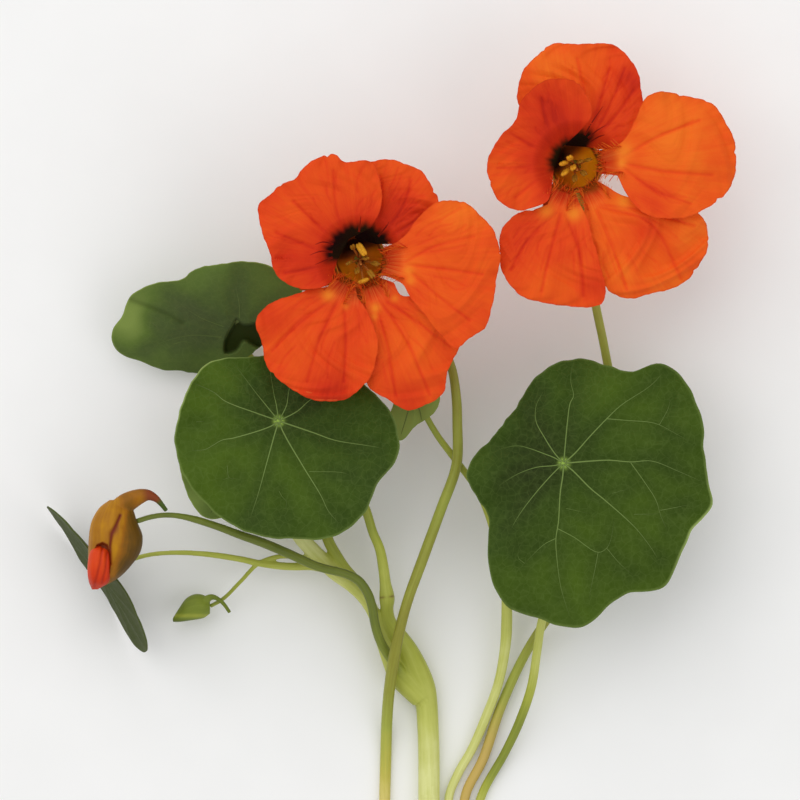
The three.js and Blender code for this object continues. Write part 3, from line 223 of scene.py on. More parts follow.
# Petals: claw is azimuth, distance and half width, lift sets their order, hood raises the rim,
# and outline goes from the claw round the rim. stain is a dark throat's reach, first and last
# azimuth, brown is where a claw's brown root ends, glow (painted light and shade) and spots are
# rows of x, y, reach and strength, and lines are dark guides.
PLAIN_PETAL = {"lift": 0, "hood": 0, "spots": "", "lines": ""}
PETALS = {
    "bloom_left_petal_upper_right": dict(
        claw=(74, 4.4, 2.6), tone=0.52, stain=(8.5, 24, 180),
        light_and_shade="9 12 6 -0.35, 7 21 5 0.15, 16 15 4 0.12",
        outline="""0 7, -1.5 12.5, -1.5 18.5, 0.5 21.5, 4 22.5, 8 22.5, 11 21.5, 14 20, 16 17.5,
        17.7 14, 18 11, 16 7, 12 4, 7.5 3.4""",
        creases="""3.6 7.4, 4.4 10, 5 15, 4.6 19; 5.6 6.2, 9 10.6, 11 15, 11.6 18; 6.8 5.2, 11 7.6,
        15 10.4""",
        lines="4.2 5.2, 6.2 7.6, 6.8 8.6"),
    "bloom_left_petal_upper_left": dict(
        claw=(152, 4.4, 2.8), tone=0.48, lift=3.7, stain=(8.4, 60, 186),
        light_and_shade="-16 11 6 0.16, -8 19 5 0.12, -17 -1 6 -0.3",
        outline="""-6.4 -5.2, -8.8 -6.6, -13.4 -6.8, -17.2 -5.4, -19.5 -2.5, -20.7 2, -22.9 8.5,
        -22.8 12.5, -20.5 14.6, -18 16.8, -15 18, -13 20.5, -9 23.2, -6 23.9, -3.5 22, 0.5 22.4,
        3.2 21.6, 4.8 17, 4.8 11.5, 2.6 7.2""",
        creases="""-5.4 3.6, -10 8, -15 13; -6.2 1, -12 3, -19 6; -3.6 5.8, -5.4 12, -6 20;
        -6.4 -1.4, -12 -2.4, -17 -3.2""",
        lines="""-6 3.4, -8.4 3.8, -10.2 3.2; -6.2 1.6, -8.8 1.7, -11.4 0.8; -6.2 0.4, -8 -0.4,
        -10.2 -1.4; -0.2 6.2, 0.1 8.2, 0.3 9.8"""),
    "bloom_left_petal_right": dict(
        claw=(355, 5.2, 3.1), tone=0.64, lift=2.4, brown=(5.4, 6.6),
        spots="11.2 -2.6 1.2 0.6, 11.6 -5 1 0.5", light_and_shade="24 9 7 0.22, 27 -12 6 -0.12, 12 -2 4 0.2",
        outline="""8.6 3.8, 10.8 5.8, 13.4 9.5, 18 13, 21 13.4, 24.5 12.5, 28 9.5, 31 5.5, 32 0.5,
        31 -6, 30.1 -11.5, 28.5 -15.7, 24.5 -18.6, 22 -20.5, 18.5 -17.5, 14.5 -12.5, 11.2 -8.2,
        9.9 -5.9, 7.6 -4.5""",
        creases="10.5 -0.6, 18 3.2, 26 5; 11 -1.4, 20 -2.4, 28 -3.6; 11.4 -2.8, 18 -8.6, 25 -14"),
    "bloom_left_petal_lower_middle": dict(
        claw=(292, 5.2, 2.3), tone=0.6, brown=(6.2, 8),
        spots="3.6 -11.2 1.1 0.8, 3.4 -13.2 0.8 0.5, 8 -9 0.9 0.5",
        light_and_shade="13 -20 6 0.22, 12 -33 5 -0.25, 3 -24 4 -0.15",
        outline="""0.6 -9, 0.4 -16, 0 -22.5, 2 -29, 6.5 -32.2, 11.5 -34.6, 14.6 -33.5, 19.3 -30.4,
        19.9 -26, 22.4 -21, 23 -17, 20 -12.5, 13.4 -8.8, 9.4 -8.2, 7.8 -5.4""",
        creases="""4.6 -9.6, 10.4 -18, 16 -31; 3.8 -10.4, 6.2 -20, 8.2 -31; 6.4 -9.8, 14 -15,
        20.6 -20"""),
    "bloom_left_petal_lower_left": dict(
        claw=(236, 5.2, 2.1), tone=0.52, lift=1.8, brown=(5.8, 7.2),
        spots="-7.2 -8.2 1.5 0.75, -3.2 -10.8 0.9 0.4",
        light_and_shade="-14 -13 6 0.08, -7 -31 5 -0.4, -21 -13 4 -0.16",
        outline="""-7.2 -6.4, -10.5 -6.8, -16 -8.5, -21.6 -11, -23.6 -14.5, -22.1 -20, -21 -25,
        -17.5 -28.2, -13.5 -31, -7.5 -32.6, -2.5 -31.6, 1.5 -28.2, 3.7 -23.5, 4 -18, 2 -12.5,
        -0.6 -8.6""",
        creases="""-5 -9.4, -9 -18, -12 -28; -6 -9, -14 -15, -20 -21; -3.6 -9.8, -3.2 -19,
        -3.6 -28"""),
    "bloom_right_petal_top": dict(
        claw=(86, 4.4, 2.6), tone=0.6, stain=(8.6, 56, 180),
        light_and_shade="-7 22 8 0.3, 13 19 4 -0.45, 6 12 5 -0.25",
        outline="""-2.6 6.8, -8 9, -12 11.5, -13.5 15.5, -12.5 20.5, -9.5 24.5, -5 27.6, 1 27.4,
        7.5 27.6, 11.6 25, 14 21, 15.1 15.5, 15.4 11, 13 6.5, 9.4 3.8, 5.4 3.6""",
        creases="""3.4 8, 5.6 15, 7.6 22; 2.2 8.6, 1.8 16, 0.2 24; 5 6.8, 10 12.4, 13 17; 4.4 7.4,
        8.6 15.6, 11 22""",
        lines="2 6.8, 3.6 9.6, 6.2 13.4; 2.8 6.2, 4.8 7.8, 6.8 9; 3.4 5.4, 5.2 6.4, 6.6 6.8"),
    "bloom_right_petal_left": dict(
        claw=(160, 4.4, 2.6), tone=0.48, lift=3.7, hood=2.6, stain=(6.6, 90, 196),
        light_and_shade="-18 -2 5 0.18, -5 13 6 -0.34, -12 -7 4 0.12",
        outline="""-5.6 -5.4, -6.6 -8.4, -10.2 -10, -14 -10.6, -17.5 -8.6, -20 -4, -20.1 1.5,
        -17.5 6, -14 10, -12.5 14.5, -10 17.2, -5.5 19.4, 0 18.5, 3 14.5, 3.4 11, 0.6 7.4""",
        creases="""-5.6 2, -11 4.6, -15 7; -6 0.4, -12 -0.6, -18 -1; -4.6 4.2, -7 9.6, -8 15;
        -5.8 -1.6, -10 -4.4, -14 -7.6"""),
    "bloom_right_petal_right": dict(
        claw=(6, 5.2, 2.5), tone=0.76, lift=2.4, brown=(5.4, 6.6),
        spots="10.9 3 2 0.6, 10.3 0.2 1.2 0.6", light_and_shade="22 6 8 0.22, 18 -9 5 -0.3, 33 -2 5 -0.1",
        outline="""8.8 3.9, 10.9 5.6, 13.4 10, 15.7 15, 20 16.6, 25 15.5, 30 14.5, 33 11.5, 36 5.5,
        36.5 0, 35 -5.7, 32 -8.5, 28 -11, 22 -12.5, 15 -11, 11.2 -6.4, 9.4 -2.6""",
        creases="10.6 1.6, 18 6, 28 10; 10.6 0.2, 20 -1.6, 31 -2.4; 10.8 -1, 18 -6, 26 -9"),
    "bloom_right_petal_lower_right": dict(
        claw=(300, 5.2, 2.3), tone=0.74, brown=(6.2, 8.2), spots="10.8 -8.4 1.6 0.8",
        light_and_shade="10 -24 5 0.12, 16 -15 3 -0.2, 27 -16 4 0.16",
        outline="""1.8 -8.6, 2 -13.5, 3 -19.5, 4.5 -25, 7.5 -29.1, 13 -30.6, 18 -29.2, 23 -28,
        27.1 -24.5, 30 -19, 29.7 -13.5, 26.5 -10.4, 20.5 -9, 14 -8, 9.6 -6.6, 7.2 -5""",
        creases="""5.2 -9.6, 17 -13.5, 24 -26; 4.6 -10.4, 8.6 -20, 11.5 -28.5; 5.4 -9.2, 16 -10.6,
        27 -14"""),
    "bloom_right_petal_lower_left": dict(
        claw=(244, 5.2, 2.1), tone=0.52, lift=1.8, brown=(6, 7.6),
        spots="-6.8 -10.6 1.8 0.6, -0.6 -11.2 1.7 0.8",
        light_and_shade="-6 -27 6 0.18, -14 -14 4 -0.15, 4 -28 4 -0.25",
        outline="""-6.6 -9.2, -9.4 -10.2, -14 -11.5, -17 -15, -17.6 -20.5, -16 -26.5, -11.5 -30.6,
        -6 -31.8, 0.5 -32.6, 6 -31.7, 6.5 -27, 5 -21.5, 3.5 -16, 2.4 -12.2, 0.8 -9""",
        creases="""-3.6 -11.4, -6 -20, -8 -29; -4.6 -11, -11 -17, -15 -24; -2.4 -11.6, 0.6 -20,
        1.6 -30"""),
}
# Blooms: up is the azimuth of the spur and spur its rows of distance, height and radius. shade
# and gloom (azimuth, strength) set the painted shade in the cup, where a negative shade lightens
# it, and the anthers in fresh are ripe, some with a lean of their own.
BLOOMS = {
    "bloom_left": dict(
        centre=(-9.2, 32.2, 36), up=115, shade=0, side_shade=(-25, 0.25),
        sepals=(75, 115, 205, 262, 358), fresh=(1, 4),
        leans={1: (0.75, -1.15, 0.4), 4: (0.9, 0.3, 0.4)},
        spur="""3.9 -14.6 2.2, 5 -16 2.8, 7.5 -20.5 2.1, 9.5 -25.5 1.6, 10.6 -31 1.2,
        10.8 -36.2 0.9""",
        anthers="""-1.6 2.8 -4.6, 0.4 2.2 -3.8, 1.4 0.2 -4.4, 2.6 -3.4 -3.6, 0.8 -5 -4.8,
        -0.6 -2.6 -6, 3.6 -1 -5.4, -2.4 -0.8 -6.4"""),
    "bloom_right": dict(
        centre=(40.25, 53.8, 34), up=123, shade=-0.34, side_shade=(205, 0.62),
        sepals=(83, 123, 163, 240, 10), fresh=(0, 1, 2, 3), leans={},
        spur="""3.9 -14.6 2.2, 5 -16 2.8, 7.3 -20.5 2.1, 9.3 -25.5 1.6, 10.4 -30.5 1.2,
        10.6 -34.2 1""",
        anthers="""-2.8 0.4 -4.4, -1.4 1.6 -3.8, -0.6 -0.6 -4.6, -2.4 -1.6 -5.4, 1 0.8 -5,
        1.8 -1.8 -5.8, -0.2 -3 -6.4, 2.8 1.2 -6"""),
}
# The cup as rows of radius and height, and the calyx round it: sepals that lie below the petals
# and narrow to a blunt tip. An ovary is rows of x, y, z and radius, and an anther of its
# length and radius.
CUP_OUTSIDE = "0 -16.6, 1.4 -16.5, 2.6 -16, 4.4 -14.6, 5.6 -12.4, 6.2 -10, 5.6 -9.9"
CUP_INSIDE = "5.6 -9.9, 5.3 -10.4, 4.6 -12.2, 3.4 -13.6, 1.6 -14.3, 0 -14.4"
SEPAL = dict(
    root=4.9, length=10.5, width=2.5, taper=0.94, blunt=2.2, below=3.4, bowl=0.5, thick=0.45)
CUP_SIDES, CUP_RADIUS = 72, 5.3
OVARY_TOP, STYLE_TOP = -10.4, (0.3, -1.2, -3.0)
OVARY = "0 0 -14 0.8, 0.05 0 -13 1.25, 0 0 -11.6 1.3, 0 0 -10.4 0.7"
ANTHER = "-1.05 0.12, -0.8 0.36, 0 0.46, 0.8 0.34, 1.05 0.1"

# Buds: slices are position along its axis, near side and far side. The large one has a slit
# between its sepals, a ridge beside it, a mouth and folded petals in that.
SLIT_DEPTH, MOUTH_DEPTH, FOLD_DEPTH = 0.45, 1.7, 0.3
BUD_SLIT = "-64 -26.4, -64.9 -28.6, -65.9 -30.6, -66.3 -33.4, -66.2 -37.6"
BUD_MOUTH = """-69.2 -33.2, -68 -32.7, -67 -33.2, -66.4 -34.9, -66.35 -37.8, -66.8 -40.4,
    -67.6 -42.2, -69.8 -44, -72.6 -44.4, -72 -40.4, -71.2 -38, -70.2 -35.4"""
BUD_RIDGE = "-62.9 -25.5, -64.2 -31, -65.2 -35, -65.4 -40"
BUD_FOLDS = "-68 -33.2, -68.6 -37.5, -69.9 -42.5; -67 -35, -67.3 -38.5, -68.2 -41.8"
LARGE_BUD = dict(
    axis=1, middle=27, depth=0.95, petal_depth=1.9,
    slices="""-22.9 -66.6 -63.6, -24.8 -69 -61.3, -27.8 -70.7 -60.2, -31.2 -71.3 -58.9,
    -34.8 -71.5 -59.4, -38 -71.5 -61.6, -40.6 -71.4 -64.2, -42.6 -70.9 -67.6""",
    petals="""-31.6 -69.2 -67.8, -32.6 -69.6 -67.4, -34.4 -70.9 -66.2, -37 -71.5 -65.9,
    -39.6 -71.6 -66.1, -41.6 -71.3 -66.6, -43.4 -70.6 -69.2""",
    spur="""-64.9 -25.6 27.4 2.5, -62.8 -23.7 27.9 2.35, -60.4 -22.4 28.5 1.95,
    -58.9 -21.9 28.9 1.6, -57.6 -21.8 29 1.25, -56 -22.5 29 0.85, -54.7 -23.8 28.8 0.6,
    -53.5 -25.4 28.4 0.5""")
SMALL_BUD = dict(
    axis=0, middle=6, depth=0.95,
    slices="""-52.6 -51.4 -50.5, -51 -51.4 -47.9, -49.5 -51.2 -45.9, -47.5 -50.9 -44.9,
    -45.5 -50.5 -45.1, -44 -49.5 -46.3""",
    spur="""-45.4 -46.6 7 1.1, -43.6 -45.6 7.4 0.7, -42.2 -46 7.5 0.5, -40.8 -47.2 7.5 0.45,
    -39.4 -49.2 7.3 0.4""")


# Rows, curves and grids
def rows(text):
    """Rows of numbers from text: commas between the rows, spaces between their numbers."""
    return np.array([row.split() for row in text.split(",") if row.strip()], float)


def paths(text):
    """Several tables of rows, with semicolons between them."""
    return [rows(part) for part in text.split(";") if part.strip()]


def fade(value, low, high):
    """0 below low, 1 above high, smooth between."""
    t = np.clip((value - low) / (high - low), 0, 1)
    return t * t * (3 - 2 * t)


def hill(away, width, power=2):
    """1 at no distance away, falling softly to next to nothing beyond the width."""
    return np.exp(-((away / width) ** power))


def patches(x, y, text):
    """Sum of soft round areas, from rows of x, y, reach and strength."""
    parts = (gain * hill(np.hypot(x - px, y - py), reach) for px, py, reach, gain in rows(text))
    return sum(parts, 0 * x)


def unit(vectors):
    return vectors / np.maximum(np.linalg.norm(vectors, axis=-1, keepdims=True), 1e-9)


def closed(path):
    return np.vstack([path, path[:1]])


def lengths(path):
    """Length along a path up to each of its points."""
    return np.concatenate([[0], np.cumsum(np.linalg.norm(np.diff(path, axis=0), axis=1))])


def turns(count):
    """Angles evenly round a circle."""
    return np.linspace(0, 2 * np.pi, count, endpoint=False)


def direction(angle):
    """Unit vector at an angle in the plan, and the one to its left."""
    c, s = math.cos(angle), math.sin(angle)
    return np.array([c, s]), np.array([-s, c])


def spline(points, steps):
    """A centripetal curve through rows of numbers, with steps points for each row."""
    points = np.asarray(points, float)
    ends = [2 * points[0] - points[1], *points, 2 * points[-1] - points[-2]]
    t = (np.arange(steps) / steps)[:, None]
    out = []
    for p0, p1, p2, p3 in zip(ends, ends[1:], ends[2:], ends[3:]):
        spans = (p0, p1), (p1, p2), (p2, p3)
        d0, d1, d2 = (max(np.linalg.norm((b - a)[:3]) ** 0.5, 1e-4) for a, b in spans)
        m1 = ((p1 - p0) / d0 - (p2 - p0) / (d0 + d1) + (p2 - p1) / d1) * d1
        m2 = ((p2 - p1) / d1 - (p3 - p1) / (d1 + d2) + (p3 - p2) / d2) * d1
        c2 = 3 * (p2 - p1) - 2 * m1 - m2
        c3 = 2 * (p1 - p2) + m1 + m2
        out.append(p1 + t * (m1 + t * (c2 + t * c3)))
    return np.vstack([*out, points[-1:]])


def grid_faces(count, columns, wrap=False):
    """Four-sided faces over rows of points, closed round each row if wrap is true."""
    r, c = np.meshgrid(np.arange(count - 1), np.arange(columns - (not wrap)), indexing="ij")
    a = r * columns + c
    b = r * columns + (c + 1) % columns
    return np.stack([a, b, b + columns, a + columns], -1).reshape(-1, 4)


def capped_faces(count, sides):
    """Faces of a body made of rings of points, with a face over each end."""
    last = (count - 1) * sides
    ends = [list(range(sides))[::-1], list(range(last, last + sides))]
    return grid_faces(count, sides, True).tolist() + ends


def wall_faces(top, low):
    """Faces between two loops of points that lie over each other."""
    return np.stack([np.roll(top, -1), top, low, np.roll(low, -1)], -1).tolist()


def distance_to(x, y, lines):
    """Distance in plan from each point to the nearest of some lines."""
    best = np.full(np.shape(x), 1e9)
    for path in lines:
        for a, b in zip(path, path[1:]):
            d = b - a
            t = np.clip(((x - a[0]) * d[0] + (y - a[1]) * d[1]) / max(d @ d, 1e-9), 0, 1)
            best = np.minimum(best, np.hypot(x - a[0] - t * d[0], y - a[1] - t * d[1]))
    return best


def near(x, y, lines, reach):
    """1 on some lines, falling softly to next to nothing beyond the reach."""
    return hill(distance_to(x, y, lines), reach)


def depth_within(x, y, border):
    """Distance in plan to a closed border, negative outside it."""
    found = np.zeros(np.shape(x), bool)
    for (ax, ay), (bx, by) in zip(border, np.roll(border, -1, axis=0)):
        crosses = (ay > y) != (by > y)
        found ^= crosses & (x < ax + (y - ay) * (bx - ax) / (by - ay if by != ay else 1e-9))
    away = distance_to(x, y, [closed(border)])
    return np.where(found, away, -away)


class Form:
    """Points, faces and named values at each point of one piece, in design millimetres."""

    def __init__(self):
        self.points, self.faces, self.values, self.count = [], [], [], 0

    def add(self, points, faces, **values):
        points = np.asarray(points, float).reshape(-1, 3)
        self.points.append(points)
        listed = faces.tolist() if isinstance(faces, np.ndarray) else faces
        self.faces += [[i + self.count for i in face] for face in listed]
        self.values.append((len(points), values))
        self.count += len(points)
        return self

    def make(self, name, paint, slot):
        points = (np.vstack(self.points) + BUNCH_SHIFT) * MILLIMETRE
        points[:, 2] = np.maximum(points[:, 2], 0.0)
        mesh = bpy.data.meshes.new(name)
        mesh.from_pydata(points.tolist(), [], self.faces)
        for key in sorted({k for _, values in self.values for k in values}):
            wide = key == "flow"
            parts = []
            for count, values in self.values:
                value = np.asarray(values.get(key, 0.0), np.float32)
                parts.append(np.broadcast_to(value, (count, 3) if wide else (count,)))
            made = mesh.attributes.new(key, "FLOAT_VECTOR" if wide else "FLOAT", "POINT")
            made.data.foreach_set("vector" if wide else "value", np.concatenate(parts).ravel())
        mesh.validate()
        mesh.shade_smooth()
        mesh.set_sharp_from_angle(angle=math.radians(SHARP_ANGLE))
        piece = bpy.data.objects.new(name, mesh)
        bpy.context.scene.collection.objects.link(piece)
        mesh.materials.append(PAINT[paint])
        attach(piece, "root")
        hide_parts(name)


def fan(middle, rim, rings, power):
    """Points of a disc in rings that close up towards its rim, each with its share of the way."""
    shares = 1 - (1 - np.arange(1, rings + 1) / rings) ** power
    spread = middle + shares[:, None, None] * (rim - middle)
    x, y = np.vstack([middle, spread.reshape(-1, 2)]).T
    return x, y, np.concatenate([[0], np.repeat(shares, len(rim))])


def disc_faces(rings, sectors):
    """Faces of a disc whose points are a middle and then rings of sectors."""
    k = np.arange(sectors)
    tip = np.stack([np.zeros(sectors, int), 1 + k, 1 + (k + 1) % sectors], -1)
    return tip.tolist() + (grid_faces(rings, sectors, True) + 1)[:, [0, 3, 2, 1]].tolist()


def blade(form, front, back, rings, **values):
    """A closed thin sheet from its front and back points, laid out as a disc; its back keeps
    one ring in BACK_STEP."""
    count = len(front)
    sectors = (count - 1) // rings
    around = np.arange(sectors)
    kept = np.arange(rings - 1, -1, -BACK_STEP)[::-1]
    chosen = np.concatenate([[0], (1 + kept[:, None] * sectors + around).ravel()])
    under = [[i + count for i in reversed(face)] for face in disc_faces(len(kept), sectors)]
    rim = count - sectors + around
    faces = disc_faces(rings, sectors) + under + wall_faces(rim, rim + len(chosen))
    both = {key: np.concatenate([value, value[chosen]]) for key, value in values.items()}
    both["under"] = np.concatenate([np.zeros(count), np.ones(len(chosen))])
    form.add(np.vstack([front, back[chosen]]), faces, **both)


def ribbon(form, path, half_width, place, rise, name, strength):
    """A narrow raised strip that follows a surface; its value fades towards its sides."""
    path = spline(path, 6)
    along = unit(np.gradient(path, axis=0))
    normal = np.stack([-along[:, 1], along[:, 0]], -1)
    share = np.linspace(0, 1, len(path))
    width = half_width * (1 - 0.65 * share) * (1 - fade(share, 0.9, 1.0) * 0.8)
    across = np.array([-1, -0.55, 0, 0.55, 1])
    plan = path[:, None] + normal[:, None] * (width[:, None] * across)[..., None]
    lift = 0.02 + rise * (1 - across**2) * (1 - 0.5 * share)[:, None]
    value = (1 - across**2) * (1 - 0.55 * fade(share, 0.35, 1.0))[:, None] * strength
    form.add(place(plan[..., 0], plan[..., 1], lift), grid_faces(len(path), 5)[:, ::-1],
             **{name: value.ravel()})


def stem_frames(table, steps, side=(0, 0, 1)):
    """Centre, radius, two directions across and length along a stem's smooth path."""
    path = spline(table, steps)
    centre = path[:, :3]
    along = unit(np.gradient(centre, axis=0))
    across = unit(np.cross(along, np.array(side, float)))
    return centre, path[:, 3], across, np.cross(across, along), lengths(centre)


def tube(form, table, steps, sides, side=(0, 0, 1), **values):
    """A round stalk with closed ends along rows of x, y, z and radius."""
    centre, radius, across, over, length = stem_frames(table, steps, side)
    count = len(centre)
    c, s = np.cos(turns(sides)), np.sin(turns(sides))
    ring = c[:, None] * across[:, None] + s[:, None] * over[:, None]
    flow = np.stack([np.tile(c, count), np.tile(s, count), np.repeat(length, sides)], -1)
    share = np.repeat(np.linspace(0, 1, count), sides)
    values = {key: value(share) if callable(value) else value for key, value in values.items()}
    form.add(centre[:, None] + ring * radius[:, None, None], capped_faces(count, sides),
             flow=flow, **values)


# Node materials
PAINT = {}


def colour(text):
    """A linear colour from a six-figure sRGB one."""
    rgb = [int(text[i : i + 2], 16) / 255 for i in (0, 2, 4)]
    return [c / 12.92 if c <= 0.04045 else ((c + 0.055) / 1.055) ** 2.4 for c in rgb] + [1.0]


class Paint:
    """A material built from nodes, with short calls for the nodes it uses."""

    def __init__(self, name, roughness, specular):
        PAINT[name] = self.material = bpy.data.materials.new(name)
        self.material.use_nodes = True
        self.tree = self.material.node_tree
        self.shader = self.tree.nodes["Principled BSDF"]
        self.fill(self.shader, {"Roughness": roughness, "Specular IOR Level": specular})

    def fill(self, node, inputs):
        """Links or sets a node's inputs; text stands for a colour."""
        for key, value in inputs.items():
            if isinstance(value, bpy.types.NodeSocket):
                self.tree.links.new(value, node.inputs[key])
            else:
                node.inputs[key].default_value = colour(value) if isinstance(value, str) else value

    def node(self, kind, inputs, output=0, **settings):
        made = self.tree.nodes.new("ShaderNode" + kind)
        for key, value in settings.items():
            setattr(made, key, value)
        self.fill(made, inputs)
        return made.outputs[output]

    def value(self, name, output="Fac"):
        return self.node("Attribute", {}, output, attribute_name=name)

    def place(self):
        return self.node("TexCoord", {}, "Object")

    def scaled(self, vector, scale):
        return self.node("VectorMath", {0: vector, 1: scale}, operation="MULTIPLY")

    def noise(self, vector, scale, detail=3.0, rough=0.55):
        inputs = {"Vector": vector, "Scale": scale, "Detail": detail, "Roughness": rough}
        return self.node("TexNoise", inputs, "Fac")

    def sum(self, a, b, operation="ADD"):
        return self.node("Math", {0: a, 1: b}, operation=operation)

    def times(self, a, b):
        return self.sum(a, b, "MULTIPLY")

    def blend(self, a, share_a, b, share_b):
        return self.sum(self.times(a, share_a), self.times(b, share_b))

    def varied(self, tone, *noises):
        """A tone moved up and down by noises, each with its strength."""
        for noise, strength in noises:
            tone = self.sum(tone, self.times(self.sum(noise, -0.5), strength))
        return tone

    def remap(self, value, low, high, to_low=0.0, to_high=1.0):
        inputs = {"Value": value, "From Min": low, "From Max": high, "To Min": to_low,
                  "To Max": to_high}
        return self.node("MapRange", inputs, "Result")

    def ramp(self, value, stops):
        """Colours from a value, by stops written as position and colour."""
        stops = [stop.split() for stop in stops.split(",")]
        made = self.tree.nodes.new("ShaderNodeValToRGB")
        self.fill(made, {"Fac": value})
        while len(made.color_ramp.elements) < len(stops):
            made.color_ramp.elements.new(1.0)
        for element, (at, text) in zip(made.color_ramp.elements, stops):
            element.position = float(at)
            element.color = colour(text)
        return made.outputs["Color"]

    def coats(self, base, *coats):
        """Colours laid over a base: each is a share or a value's name, its strength and colour."""
        for share, strength, over in coats:
            share = self.value(share) if isinstance(share, str) else share
            share = self.times(share, strength) if strength != 1 else share
            base = self.node("Mix", {0: share, 6: base, 7: over}, 2, data_type="RGBA")
        return base

    def finish(self, base, relief, strength, rough_noise, rough_low, rough_high, distance=0.0002):
        roughness = self.remap(rough_noise, 0.3, 0.7, rough_low, rough_high)
        inputs = {"Strength": strength, "Distance": distance, "Height": relief}
        bump = self.node("Bump", inputs, "Normal")
        self.fill(self.shader, {"Base Color": base, "Roughness": roughness, "Normal": bump})


def leaf_paint(name, stops, vein, rim, under):
    p = Paint(name, 0.55, 0.1)
    place = p.place()
    fine = p.noise(place, 800, 5.0, 0.6)
    cells = p.node("TexVoronoi", {"Vector": place, "Scale": 560}, "Distance",
                   feature="DISTANCE_TO_EDGE")
    net = p.remap(cells, 0.0, 0.06, 0.08, 0.0)
    # The shade value carries painted light and shade from the glow areas.
    base = p.ramp(p.sum(p.times(p.noise(place, 42), 0.8), p.value("shade")), stops)
    # The hollow coat is painted shade in the sunk area and along the creases.
    base = p.coats(base, (p.remap(fine, 0.35, 0.75, 0.0, 0.10), 1, vein), (net, 1, vein),
                   ("rim", 1, rim), ("vein", 1, vein), ("heart", 1, "9CBC52"),
                   ("hollow", 1, "2A340C"), ("under", 0.8, under))
    p.finish(base, p.blend(fine, 0.6, net, -1.5), 0.4, fine, 0.5, 0.66, 0.00016)


def petal_paint(seed):
    p = Paint(f"petal_{seed}", 0.7, 0.12)
    own = {0: p.value("flow", "Vector"), 1: (seed * 3.7, 0, seed)}
    shifted = p.node("VectorMath", own, operation="ADD")
    streak = p.noise(p.scaled(shifted, (6.0, 0.7, 1.0)), 1.0, 4.0, 0.6)
    hair = p.noise(p.scaled(shifted, (44.0, 0.8, 1.0)), 1.0, 4.0, 0.65)
    cloud = p.noise(p.place(), 80)
    fine = p.noise(p.place(), 2400, 4.0)
    tone = p.varied(p.value("tone"), (streak, 0.40), (hair, 0.26), (cloud, 0.50))
    # Painted shade: darker along creases and wrinkles.
    tone = p.sum(tone, p.times(p.value("crease"), -0.20))
    base = p.ramp(tone, "0 B4220E, 0.22 CC3010, 0.48 DE4414, 0.74 E85816, 1 EE701C")
    root = p.times(p.value("root"), p.remap(hair, 0.45, 0.62, 0.0, 0.55))
    dark = p.ramp(cloud, "0.4 150105, 0.7 241C04")
    base = p.coats(base, ("rim", 0.35, "B8360E"), (root, 1, "E8803A"), ("pale", 1, "F08A24"),
                   ("brown", 0.85, "8A4A0A"), ("dark", 1, dark), ("under", 0.4, "E06A30"))
    p.finish(base, p.blend(hair, 0.8, fine, 0.4), 0.35, fine, 0.62, 0.8)


def stem_paint(name, stops):
    p = Paint(name, 0.42, 0.35)
    lines = p.noise(p.scaled(p.value("flow", "Vector"), (3.2, 3.2, 0.10)), 1.0)
    blotch = p.noise(p.place(), 130)
    fine = p.noise(p.place(), 2600, 4.0)
    base = p.ramp(p.varied(p.value("tone"), (blotch, 0.30), (lines, 0.30)), stops)
    base = p.coats(base, ("cut", 0.8, "C9CC94"), ("node", 0.75, "6E4A1E"), ("blush", 1, "CDA55E"))
    p.finish(base, p.blend(lines, 0.8, fine, 0.35), 0.3, blotch, 0.38, 0.56)


def calyx_paint():
    p = Paint("calyx", 0.55, 0.2)
    place = p.place()
    blotch = p.noise(place, 220)
    lines = p.noise(p.scaled(place, (1.0, 1.0, 0.12)), 1500)
    base = p.ramp(p.blend(blotch, 0.6, lines, 0.4), "0.25 7A701A, 0.5 9A7F22, 0.75 B8922C")
    # Painted shade inside the cup: lit ochre to near black by the depth value.
    inside = p.ramp(p.varied(p.value("depth"), (blotch, 0.3)),
                    "0 FFB010, 0.35 DA820A, 0.7 6E3A04, 1 1C0802")
    base = p.coats(base, ("inside", 1, inside), ("edge", 1, "7E3A0A"), ("flush", 1, "BE4A14"))
    p.finish(base, p.blend(lines, 1, blotch, 0.5), 0.3, blotch, 0.5, 0.7)


def stamen_paint():
    p = Paint("stamens", 0.6, 0.2)
    grain = p.noise(p.place(), 2600)
    thread, pollen, old = (p.ramp(grain, stops) for stops in (
        "0.3 A8581A, 0.7 C87C30", "0.3 D0901A, 0.7 F2B42C", "0.3 7A4A0C, 0.7 A8741A"))
    base = p.coats(thread, ("anther", 1, pollen), ("old", 1, old), ("ovary", 1, "86802A"))
    p.finish(base, grain, 0.5, grain, 0.5, 0.75)


def bud_paint(name, stops, flush):
    p = Paint(name, 0.5, 0.2)
    blotch = p.noise(p.place(), 260)
    lines = p.noise(p.scaled(p.value("flow", "Vector"), (2.4, 2.4, 0.05)), 2.0)
    base = p.ramp(p.varied(p.value("tone"), (blotch, 0.4), (lines, 0.35)), stops)
    # The slit coat is the slit's own colour on the sepals and painted shade in the petals' folds.
    base = p.coats(base, ("slit", 1, flush), ("maroon", 1, "80341C"), ("green", 1, "44561A"))
    p.finish(base, p.blend(lines, 1, blotch, 0.5), 0.35, blotch, 0.42, 0.6)


